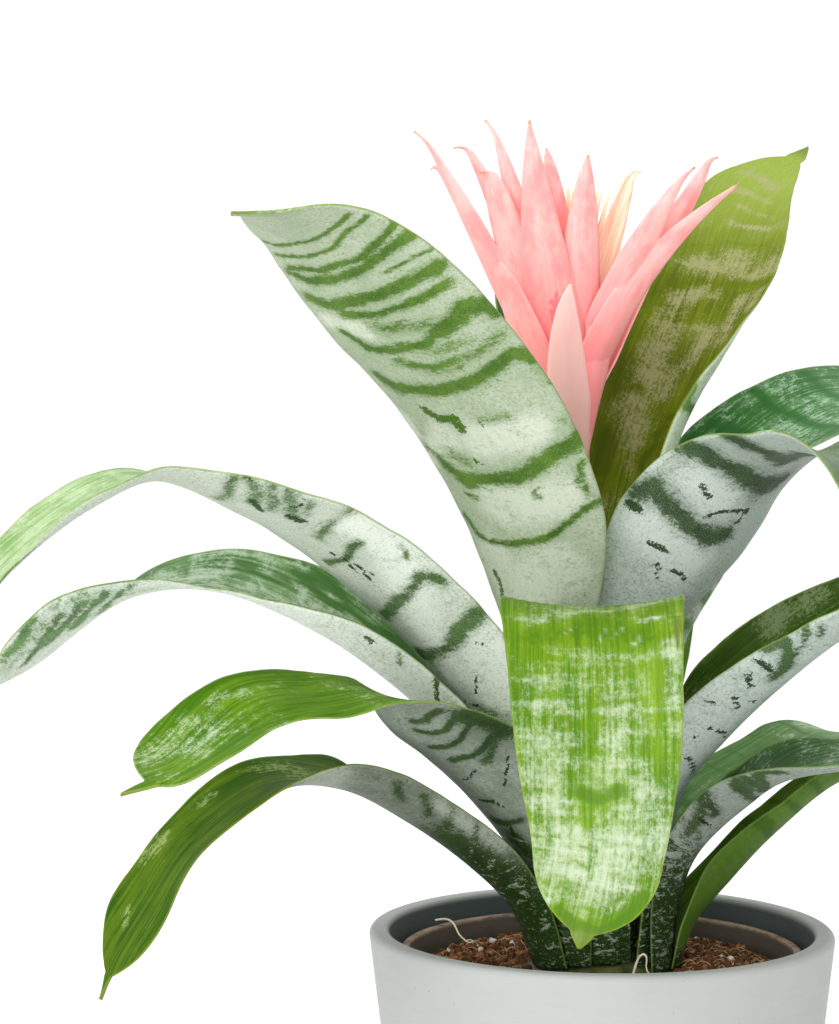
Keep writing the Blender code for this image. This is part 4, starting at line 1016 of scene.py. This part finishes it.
def total(*parts):
    """The sum of values, each centred and scaled: (value, centre, scale)."""
    summed = 0.0
    for value, centre, scale in parts:
        moved = compute("MULTIPLY", compute("SUBTRACT", value, centre), scale)
        summed = compute("ADD", moved, summed)
    return summed


def under_look(name, seed, silver=(0.50, 0.57, 0.48), pale=(0.66, 0.71, 0.64), dark=(0.045, 0.13, 0.015),
               green=(0.10, 0.23, 0.05), rub=(0.05, 0.10, 0.012), bare_level=0.5, foot_green=34.0):
    look = new_look(name, roughness=0.55, specular=0.08)
    blade = blade_of(look)
    shift = seed * 3.7
    band, patch = value_of(look, "band"), value_of(look, "pale")
    wide = grain(blade, (0.5, 0.9, 1), shift, detail=3)
    wisps = grain(blade, (4.5, 1.8, 1), shift + 9, detail=8, roughness=0.74, warp=0.5)
    fray = grain(blade, (13.0, 11.0, 1), shift + 5, detail=5, roughness=0.8)
    speck = grain(blade, (34.0, 30.0, 1), shift + 13, detail=2)
    nerves = grain(blade, (0.4, 16.0, 1), shift + 17, detail=3)
    frayed = total((band, 0, 1.0), (wisps, 0.5, 2.0), (fray, 0.5, 1.5), (wide, 0.5, 0.8), (speck, 0.5, 0.5),
                   (patch, 0, -0.25))
    bare = between(frayed, bare_level - 0.2, bare_level + 0.2, 0.95)
    rubbed = total((value_of(look, "rub"), 0, 1.0), (wisps, 0.5, 1.2), (fray, 0.5, 2.2))
    rubbed = between(rubbed, 0.46, 0.54)
    ends = {"From Min": foot_green * 1.4, "From Max": foot_green * 0.4}
    low = put(look.node_tree, "MapRange", values={"Value": value_of(look, "foot")} | ends)
    low = between(total((low, 0, 1), (wisps, 0.62, 3)), 0.25, 0.5)
    cover = total((wide, 0.5, 1.2), (patch, -0.55, 0.8), (wisps, 0.5, 1.6))
    scales = blend(between(cover, 0.1, 0.9), silver, pale)
    scales = blend(between(frayed, bare_level - 0.75, bare_level, 0.5), scales, green)
    scales = blend(between(fray, 0.5, 0.72, 0.45), scales, green)
    scales = blend(between(nerves, 0.5, 0.75, 0.12), scales, green)
    skin = blend(between(total((fray, 0, 1), (wide, 0.5, 1)), 0.35, 0.7), dark, green)
    skin = blend(between(speck, 0.52, 0.66, 0.3), skin, silver)
    tone = blend(bare, scales, skin)
    tone = blend(compute("MULTIPLY", rubbed, 0.95), tone, rub)
    foot = blend(between(total((wisps, 0, 1), (fray, 0.5, 0.5)), 0.55, 0.62), FOOT_DARK, FOOT_GREY)
    tone = blend(low, tone, foot)
    tone = blend(between(value_of(look, "rim"), 0.5, 0.2, 0.35), tone, UNDER_EDGE)
    return dress(look, tone, total((nerves, 0, 1), (fray, 0, 0.4), (rubbed, 0, -0.5)), 0.35, 0.25)


# %% [markdown]
# The upper side is fresh green with a thin uneven coat of the same scales. Streaks run along
# the blade, noise lays faint pale bars across it, and the strokes darken or lighten it.

# %% Upper finish
RUB_BROWN = (0.16, 0.11, 0.05)
POINT_GREEN = (0.12, 0.17, 0.03)


def upper_look(name, seed, deep=(0.07, 0.18, 0.012), fresh=(0.17, 0.33, 0.035), coat=(0.50, 0.58, 0.42),
               cover=0.56, spread=0.14, most=0.75, edge=(0.30, 0.38, 0.10), mottle_size=(4.5, 6.0),
               bar_size=1.1, bar_share=0.4, tip_tone=(0.30, 0.38, 0.14), tip_most=0.0, gloss=0.42):
    look = new_look(name, roughness=gloss, specular=0.12)
    blade = blade_of(look)
    shift = seed * 2.9
    share, band = value_of(look, "share"), value_of(look, "band")
    wide = grain(blade, (0.4, 0.8, 1), shift, detail=3)
    streaks = grain(blade, (0.35, 9.0, 1), shift + 4, detail=4)
    mottle = grain(blade, (*mottle_size, 1), shift + 8, detail=6, roughness=0.7)
    fleck = grain(blade, (16.0, 22.0, 1), shift + 12, detail=3)
    bars = grain(blade, (bar_size, 0.35, 1), shift + 15, detail=4, warp=0.2)
    skin = blend(between(total((streaks, 0, 0.7), (wide, 0, 0.5)), 0.42, 0.78), deep, fresh)
    skin = blend(between(share, 0.7, 0.95, tip_most), skin, tip_tone)
    coated = total((mottle, 0, 0.55), (streaks, 0, 0.25), (fleck, 0.19, 0.4), (wide, 0.5, 0.3),
                   (bars, 0.5, bar_share), (band, 0, -0.22), (value_of(look, "pale"), 0, 0.16))
    tone = blend(between(coated, cover, cover + spread, most), skin, coat)
    tone = blend(between(total((band, 0, 1), (mottle, 0.5, 0.9)), 0.4, 0.75, 0.75), tone, deep)
    rubbed = total((value_of(look, "rub"), 0, 1.0), (mottle, 0.5, 0.9))
    tone = blend(between(rubbed, 0.45, 0.55, 0.7), tone, RUB_BROWN)
    tone = blend(between(share, 0.965, 0.99, 0.7), tone, POINT_GREEN)
    tone = blend(between(fleck, 0.45, 0.7, 0.2), tone, deep)
    tone = blend(between(value_of(look, "rim"), 0.6, 0.2, 0.4), tone, edge)
    return dress(look, tone, total((streaks, 0, 1), (mottle, 0, 0.35)), 0.4, 0.3)


# %% [markdown]
# The same two finishes serve every leaf, with colours of its own: the left leaves are the most
# silver, the low ones are darkened below as painted shade of the leaves over them, and the front
# one and the low left ones are bright green above. What isn't listed keeps the finish's own colours.

# %% Colours of each leaf
UNDER = {
    "leaf_tall_left": dict(silver=(0.33, 0.40, 0.28), pale=(0.60, 0.64, 0.54), dark=(0.035, 0.10, 0.001),
        green=(0.09, 0.185, 0.012), rub=(0.05, 0.13, 0.004), foot_green=24),
    "leaf_left_long": dict(silver=(0.54, 0.60, 0.51), pale=(0.76, 0.80, 0.73), dark=(0.025, 0.07, 0.012),
        green=(0.07, 0.15, 0.03), rub=(0.02, 0.06, 0.01)),
    "leaf_left_twisted": dict(silver=(0.66, 0.71, 0.63), pale=(0.80, 0.83, 0.78), dark=(0.02, 0.08, 0.01),
        foot_green=20),
    "leaf_right_arching": dict(silver=(0.41, 0.48, 0.43), pale=(0.60, 0.66, 0.61),
        dark=(0.016, 0.042, 0.008), green=(0.04, 0.085, 0.02), rub=(0.02, 0.05, 0.01)),
    "leaf_right_folded": dict(silver=(0.40, 0.46, 0.42), pale=(0.56, 0.62, 0.58),
        dark=(0.014, 0.045, 0.006), green=(0.04, 0.095, 0.015), rub=(0.012, 0.035, 0.006)),
    # Painted shade: the next four leaves, the low ones, have their silver and pale darkened for the shade
    # they stand in.
    "leaf_right_low": dict(silver=(0.26, 0.30, 0.26), pale=(0.44, 0.48, 0.44), dark=(0.012, 0.03, 0.006),
        green=(0.04, 0.08, 0.02), rub=(0.01, 0.025, 0.004), bare_level=0.42, foot_green=60),
    "leaf_right_lowest": dict(silver=(0.055, 0.12, 0.012), pale=(0.11, 0.20, 0.03),
        dark=(0.03, 0.075, 0.004), green=(0.045, 0.105, 0.008), foot_green=10),
    "leaf_left_blunt": dict(silver=(0.15, 0.18, 0.14), pale=(0.39, 0.43, 0.38),
        dark=(0.010, 0.032, 0.003), green=(0.03, 0.07, 0.01), rub=(0.012, 0.03, 0.004), bare_level=0.44,
        foot_green=52),
    "leaf_left_waved": dict(silver=(0.09, 0.105, 0.08), pale=(0.28, 0.31, 0.26),
        dark=(0.008, 0.026, 0.002), green=(0.018, 0.045, 0.004), bare_level=0.40, foot_green=48),
    "leaf_tall_right": dict(silver=(0.58, 0.66, 0.50), pale=(0.72, 0.79, 0.66), green=(0.14, 0.28, 0.05)),
    "leaf_back_tall": dict(silver=(0.10, 0.17, 0.07), pale=(0.20, 0.28, 0.16)),
}
UPPER = {
    "leaf_left_long": dict(deep=(0.16, 0.30, 0.08), fresh=(0.32, 0.46, 0.20), coat=(0.53, 0.63, 0.43),
        cover=0.42, spread=0.3),
    "leaf_left_twisted": dict(deep=(0.035, 0.11, 0.02), fresh=(0.14, 0.26, 0.09), coat=(0.44, 0.54, 0.41),
        cover=0.46, spread=0.2, mottle_size=(3.2, 2.6)),
    "leaf_left_blunt": dict(deep=(0.045, 0.14, 0.001), fresh=(0.14, 0.27, 0.008), coat=(0.52, 0.61, 0.40),
        cover=0.56, spread=0.2, mottle_size=(4.0, 4.0)),
    "leaf_left_waved": dict(deep=(0.015, 0.065, 0.0), fresh=(0.085, 0.155, 0.0), coat=(0.28, 0.37, 0.12),
        cover=0.66, edge=(0.24, 0.32, 0.03), gloss=0.6),
    "leaf_front_hanging": dict(deep=(0.055, 0.15, 0.0), fresh=(0.16, 0.28, 0.008),
        coat=(0.48, 0.54, 0.41), cover=0.47, spread=0.36, most=0.85, edge=(0.22, 0.33, 0.02),
        mottle_size=(5.0, 6.0), bar_size=2.6, bar_share=0.5),
    "leaf_tall_right": dict(deep=(0.062, 0.09, 0.0), fresh=(0.13, 0.175, 0.0), coat=(0.33, 0.32, 0.16),
        cover=0.55, spread=0.2, most=0.8, edge=(0.28, 0.35, 0.04), mottle_size=(7.0, 9.0),
        tip_tone=(0.30, 0.40, 0.07), tip_most=0.8, gloss=0.7),
    "leaf_right_arching": dict(deep=(0.03, 0.08, 0.015), fresh=(0.10, 0.18, 0.05)),
    "leaf_right_behind": dict(deep=(0.025, 0.11, 0.022), fresh=(0.08, 0.22, 0.06),
        coat=(0.38, 0.52, 0.38), cover=0.49),
    # Painted shade: the upper side of this leaf, the inside of its fold, is darkened throughout, its coat to
    # a dark grey.
    "leaf_right_folded": dict(deep=(0.025, 0.065, 0.003), fresh=(0.07, 0.13, 0.012),
        coat=(0.22, 0.29, 0.14), cover=0.56, mottle_size=(7.0, 9.0)),
    "leaf_right_low": dict(deep=(0.03, 0.09, 0.02), fresh=(0.09, 0.19, 0.06), coat=(0.48, 0.56, 0.46),
        cover=0.53),
    "leaf_right_back_low": dict(deep=(0.08, 0.20, 0.05), fresh=(0.20, 0.35, 0.12),
        coat=(0.55, 0.66, 0.50), cover=0.55),
    "leaf_right_lowest": dict(deep=(0.05, 0.12, 0.004), fresh=(0.14, 0.25, 0.02), cover=0.70),
    "leaf_back_tall": dict(deep=(0.02, 0.06, 0.01), fresh=(0.05, 0.12, 0.03), coat=(0.18, 0.26, 0.15)),
    "leaf_right_inner": dict(deep=(0.10, 0.20, 0.06), fresh=(0.22, 0.34, 0.14), coat=(0.60, 0.70, 0.56),
        cover=0.47),
}
print("leaves with colours of their own:", len(UNDER.keys() | UPPER.keys()))

# %% [markdown]
# With paths, strokes and finishes at hand, each leaf is made in turn. Its number seeds its noise,
# so that no two leaves share a pattern. The modifier puts the under finish on the lower face.

# %% Make the leaves
for number, (name, leaf) in enumerate(LEAVES.items(), start=1):
    leaf_looks = [upper_look(name + "_upper", number, **UPPER.get(name, {})),
                  under_look(name + "_under", number, **UNDER.get(name, {}))]
    make_leaf(name, leaf, number, leaf_looks)

# %% [markdown]
# ## The flower head
# The pink bracts are stiff pointed leaves with fine veins, deeper pink feet and dry brown tips.
# One finish serves them all, and values on the vertices make single ones creamier, or paler as
# painted light on the low front bract, which stands in shade.

# %% Bract finish
PINKS = dict(
    dusty=(0.97, 0.29, 0.29), light=(0.98, 0.50, 0.47), vein=(0.95, 0.27, 0.26), deep=(0.95, 0.25, 0.27),
    ochre=(0.55, 0.36, 0.13), brown=(0.30, 0.13, 0.05), edge=(0.96, 0.58, 0.53), painted_light=(0.99, 0.60, 0.57),
    blot=(0.92, 0.16, 0.19), cream=(0.98, 0.78, 0.60), cream_vein=(0.96, 0.50, 0.28))


def bract_look():
    look = new_look("bract_pink", roughness=0.5, specular=0.25)
    blade = blade_of(look)
    share, painted_light = value_of(look, "share"), value_of(look, "painted_light")
    veins = grain(blade, (0.4, 16.0, 1), 2.0, detail=3)
    cloud = grain(blade, (0.8, 1.8, 1), 6.0, detail=5)
    spots = grain(blade, (5, 9, 1), 9.0, detail=5)
    tone = blend(between(cloud, 0.3, 0.7), PINKS["dusty"], PINKS["light"])
    tone = blend(between(veins, 0.42, 0.72, 0.4), tone, PINKS["vein"])
    tone = blend(between(total((share, 0.42, -1.2), (cloud, 0.45, 2.2)), 0.0, 0.5, 0.6), tone, PINKS["deep"])
    # The painted-light flag also starts that bract's ochre tip a little lower.
    aged = total((share, 0, 1), (cloud, 0.5, 0.06), (painted_light, 0, 0.05))
    tone = blend(between(aged, 0.955, 0.985), tone, PINKS["ochre"])
    tone = blend(between(share, 0.975, 1.0), tone, PINKS["brown"])
    tone = blend(between(value_of(look, "rim"), 0.5, 0.15, 0.4), tone, PINKS["edge"])
    # Painted light: the flagged bract is lightened towards pale pink to make up for the shade it stands in.
    tone = blend(compute("MULTIPLY", painted_light, 0.75), tone, PINKS["painted_light"])
    blot = total((value_of(look, "blot"), 0, 1), (spots, 0.5, 1.6))
    tone = blend(between(blot, 0.42, 0.5, 0.8), tone, PINKS["blot"])
    cream = blend(between(veins, 0.4, 0.7), PINKS["cream"], PINKS["cream_vein"])
    tone = blend(compute("MULTIPLY", value_of(look, "cream"), 0.85), tone, cream)
    return dress(look, tone, veins, 0.4, 0.25)


pink = bract_look()

# %% [markdown]
# The bracts stand in layers round the stem, hollow towards it. Each is a small grid that is bent
# along a curve of its own, and one modifier gives them all their thickness. A row holds the tip,
# the point that pulls the curve, the height of the foot, the width, how slim the end is, the side
# it faces in degrees, and how far the tip hooks out and down.

# %% Bracts
HEAD_X = -8.0
BRACT_THICKNESS = 0.8
BRACT_SEGMENTS = 34
BRACT_COLUMNS = 10
BRACT_FOOT_RADIUS = 3.5
BRACT_FOOT_WIDTH = 0.55
BRACT_WIDENING = 1.8
BRACT_CURVE = 2.2
BRACT_HOLLOW = 0.35
BRACT_KEEL = 0.05
BRACT_RIPPLE = 0.3
BRACT_TIP_HALF = 0.3
BRACT_HOOK_START = 0.86
BRACT_HOOK_DROP = 0.8
BRACTS = [
    ((-59, -8, 394), (-42, -7, 367), 300, 11, 1.7, 225, 1.5),
    ((-54, 8, 384), (-52, 7, 389), 300, 10, 1.5, 200, 1),
    ((-45, 6, 392), (-36, 4, 383), 305, 11, 1.5, 215, 2.5),
    ((-37, -13, 381), (-34, -14, 370), 298, 14, 0.9, 240, 3),
    ((-36, -5, 398), (-27, -12, 369), 305, 11, 1.6, 255, 1.5),
    ((-24, -20, 394), (-22, -22, 357), 300, 17.5, 1.15, 262, 0),
    ((-18, -9, 387), (-16, -18, 374), 310, 11, 1.1, 290, 0),
    ((-5, -14, 384), (-8, -21, 362), 310, 14, 1.05, 278, 0),
    ((13, 16, 386), (7, 22, 371), 318, 9.5, 1.1, 95, 2.5),
    ((28, -14, 381), (10, -22, 358), 310, 14, 1.5, 292, 1),
    ((36, -2, 387), (31, -10, 373), 318, 10, 1.3, 300, 2),
    ((44, -8, 376), (2, -21, 346), 305, 13, 1.3, 305, 0),
    ((-12, -33, 341), (-15.2, -28, 327), 287, 13.4, 1.1, 268, 0),
    ((-34, -18, 350), (-29, -18, 337), 290, 13, 0.8, 235, 0),
    ((12, -8, 343), (-2, -14, 340), 292, 12, 0.8, 300, 0),
    ((-34, 30, 356), (-20, 12, 328), 300, 13, 1.0, 150, 1),
    ((-20, 40, 362), (-13, 17, 330), 298, 13, 1.0, 110, 1),
    ((6, 38, 360), (-2, 17, 330), 300, 13, 1.0, 75, 1),
    ((26, 26, 362), (7, 11, 333), 304, 13, 1.0, 40, 1),
    ((-26, 25, 364), (-17, 11, 336), 308, 12, 1.2, 140, 1),
    ((0, 26, 372), (-4, 12, 341), 310, 12, 1.2, 60, 1),
]
CREAM_BRACTS = (8,)
# Bract 12 faces down into shade, so it is painted paler: painted light.
PAINTED_LIGHT_BRACTS = (12,)
BLOTS = [(5, 0.32, 0.2, 0.06, 0.35)]


def blot_at(number, u, v):
    """How strongly the blots mark a place on a bract."""
    return sum(math.exp(-((u - along) / long) ** 2 - ((v - beside) / wide) ** 2)
               for bract, along, beside, long, wide in BLOTS if bract == number)


def add_bract(bm, number, tip, pull, height, width, slim, face, hook):
    """One bract in the shared bmesh, along its curve, with its values for the finish."""
    tip, pull = Vector(tip), Vector(pull)
    out = Vector((math.cos(math.radians(face)), math.sin(math.radians(face)), 0))
    foot = Vector((HEAD_X, 0, height)) + out * BRACT_FOOT_RADIUS
    away = Vector((tip.x - HEAD_X, tip.y, 0)).normalized() - Vector((0, 0, BRACT_HOOK_DROP))
    length = (pull - foot).length / 2 + (tip - pull).length / 2 + (tip - foot).length / 2
    floats, uv = bm.verts.layers.float, bm.loops.layers.uv["blade"]
    made = bmesh.ops.create_grid(bm, x_segments=BRACT_SEGMENTS, y_segments=BRACT_COLUMNS, size=1.0)["verts"]
    places = {}
    for vert in made:
        u, v = (vert.co.x + 1) / 2, vert.co.y
        place = foot * (1 - u) ** 2 + pull * 2 * u * (1 - u) + tip * u**2
        ahead = ((pull - foot) * (1 - u) + (tip - pull) * u).normalized()
        side = ahead.cross(out).normalized()
        over = ahead.cross(side)
        widened = width / 2 * min(1, BRACT_FOOT_WIDTH + BRACT_WIDENING * u)
        half = widened * (1 - u**BRACT_CURVE) ** slim + BRACT_TIP_HALF
        ripple = BRACT_RIPPLE * noise.noise(Vector((u * length / 9, v, number))) * min(1, half / 3)
        keel = BRACT_KEEL * half * (1 - abs(v)) ** 3
        lift = BRACT_HOLLOW * half * (v * v - 0.5) - keel + ripple * abs(v)
        bend = max(0.0, (u - BRACT_HOOK_START) / (1 - BRACT_HOOK_START)) ** 2
        vert.co = place + side * (v * half * (1 + 0.1 * ripple)) + over * lift + away * (hook * bend)
        vert[bm.verts.layers.deform.active][0] = min(1.0, 0.2 + half / 2.5)
        vert[floats["share"]] = u
        vert[floats["rim"]] = half * (1 - abs(v))
        vert[floats["cream"]] = float(number in CREAM_BRACTS)
        vert[floats["painted_light"]] = float(number in PAINTED_LIGHT_BRACTS)
        vert[floats["blot"]] = blot_at(number, u, v)
        places[vert] = (u * length / 10 + number * 3, v * half / 10)
    for face_made in {face for vert in made for face in vert.link_faces}:
        for loop in face_made.loops:
            loop[uv].uv = places[loop.vert]


bract_mesh = bmesh.new()
for key in ("share", "rim", "cream", "painted_light", "blot"):
    bract_mesh.verts.layers.float.new(key)
bract_mesh.loops.layers.uv.new("blade")
bract_mesh.verts.layers.deform.new()
for number, bract in enumerate(BRACTS):
    add_bract(bract_mesh, number, *bract)
thicken(make_piece(bract_mesh, "flower_bracts", [pink], ["flower_head"]), BRACT_THICKNESS)

# %% [markdown]
# The stem is a straight pink stalk with fine lines along it. It swells inside the bracts and
# carries them. It is turned, and then leant over to the middle of the head.

# %% Flower stem
SCAPE_RADIUS = 4.5
HEAD_NECK_HEIGHT = 290.0
HEAD_CORE_RADIUS = 9.0
HEAD_CORE_HEIGHT = 314.0
HEAD_TOP_HEIGHT = 338.0
SCAPE_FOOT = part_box("flower_head")[0].z / MM
STEM_SIDES = 32
STEM_STEP = 6
STEM_TONES = ((0.80, 0.30, 0.26), (0.93, 0.52, 0.46))


def plain_look(name, scale, ends, tones, distance, roughness=0.5, detail=4.0):
    """A finish of two tones with noise between them, which also makes its relief."""
    look = new_look(name, roughness=roughness)
    cloud = grain(place_on(look), scale, 2.0, detail=detail)
    return dress(look, blend(between(cloud, *ends), *tones), cloud, 0.4, distance)


stem_look = plain_look("stem_pink", (900, 900, 30), (0.35, 0.7), STEM_TONES, 0.3)
stem_profile = [(0, SCAPE_FOOT), (SCAPE_RADIUS, SCAPE_FOOT), (SCAPE_RADIUS, HEAD_NECK_HEIGHT)]
stem_profile += [(HEAD_CORE_RADIUS, HEAD_CORE_HEIGHT), (HEAD_CORE_RADIUS - 1.0, HEAD_TOP_HEIGHT)]
stem_profile += [(0, HEAD_TOP_HEIGHT)]
stem_mesh = lathe(subdivided(stem_profile, STEM_STEP), STEM_SIDES)
for vert in stem_mesh.verts:
    vert.co.x += HEAD_X * min(1.0, (vert.co.z - SCAPE_FOOT) / (HEAD_NECK_HEIGHT - SCAPE_FOOT))
make_piece(stem_mesh, "flower_stem", [stem_look], ["flower_head"])

# %% [markdown]
# ## The florets
# In the middle of the bracts stands a tuft of slim pointed buds, orange below and cream towards
# the tip. Each bud is a spindle: a short profile turned round an axis, then moved to its place.
# They follow the golden angle, and the ones in front spread less, as the bracts hold them back.

# %% Florets
FLORET_FOOT = HEAD_TOP_HEIGHT + 0.3
FLORET_CORE = [(0, 0), (4.4, 0), (3.4, 5.4), (0, 9.0)]
FLORET_CORE_SIDES = 28
FLORET_CORE_STEP = 2
FLORET_COUNT = 34
FLORET_TURN = 137.5
FLORET_LIFT = 2.5
FLORET_RING = 2.8
FLORET_SPREAD = 11.0
FLORET_FRONT = 0.35
FLORET_LENGTH = 37.0
FLORET_OUTER_SHORTER = 0.1
FLORET_RADIUS = 1.0
FLORET_SIDES = 10
FLORET_SHAPE = [(0.0, 0.0), (0.8, 0.03), (1.0, 0.2), (0.95, 0.45), (0.62, 0.7), (0.42, 0.86),
                (0.2, 0.97), (0.0, 1.0)]
FLORET_RIPE = (12, 34)


def floret_look():
    look = new_look("floret_cream", roughness=0.5)
    place = place_on(look)
    cloud = grain(place, (300, 300, 120), 2.0, detail=5)
    lines = grain(place, (1500, 1500, 60), 5.0)
    level = total((part_of(place, "Z"), 0, 1), (cloud, 0.5, 0.02))
    ripe = between(level, *((FLORET_FOOT + height) * MM for height in FLORET_RIPE))
    tone = blend(ripe, (0.97, 0.42, 0.22), (0.99, 0.80, 0.55))
    tone = blend(between(lines, 0.5, 0.8, 0.3), tone, (0.95, 0.55, 0.35))
    return dress(look, tone, lines, 0.3, 0.2)


def add_spindle(bm, foot, tip, radius):
    """A slim bud from foot to tip."""
    length = (tip - foot).length
    profile = [(r * radius, z * length) for r, z in FLORET_SHAPE]
    made = spin(bm, profile, FLORET_SIDES, 0.002)
    turn = (tip - foot).to_track_quat("Z", "Y").to_matrix().to_4x4()
    bmesh.ops.transform(bm, matrix=Matrix.Translation(foot) @ turn, verts=made)


core_profile = [(r, FLORET_FOOT + z) for r, z in FLORET_CORE]
buds_mesh = lathe(subdivided(core_profile, FLORET_CORE_STEP), FLORET_CORE_SIDES)
bmesh.ops.translate(buds_mesh, vec=(HEAD_X, 0, 0), verts=buds_mesh.verts)
for number in range(FLORET_COUNT):
    turn = number * math.radians(FLORET_TURN)
    spread = math.sqrt((number + 0.5) / FLORET_COUNT)
    towards = math.sin(turn)
    out = Vector((math.cos(turn), towards if towards > 0 else FLORET_FRONT * towards, 0))
    foot = Vector((HEAD_X, 0, FLORET_FOOT + FLORET_LIFT)) + out * FLORET_RING * spread
    rise = FLORET_LENGTH * (1 - FLORET_OUTER_SHORTER * spread)
    tip = foot + out * FLORET_SPREAD * spread + Vector((0, 0, rise))
    add_spindle(buds_mesh, foot, tip, FLORET_RADIUS)
bmesh.ops.recalc_face_normals(buds_mesh, faces=buds_mesh.faces)
make_piece(buds_mesh, "flower_buds", [floret_look()], ["flower_florets"])

# %% [markdown]
# ## The crown
# The crown is the short stem that all leaves grow from. The leaves hide it, so the model's own
# shape stays and only gets its finish.

# %% Crown finish
CROWN_TONES = ((0.03, 0.05, 0.012), (0.12, 0.13, 0.04))

crown_look = plain_look("crown_green", (200, 200, 60), (0.35, 0.65), CROWN_TONES, 0.4, 0.6, 5.0)
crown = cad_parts["crown"]
crown.data.materials.clear()
crown.data.materials.append(crown_look)
print("crown finished")
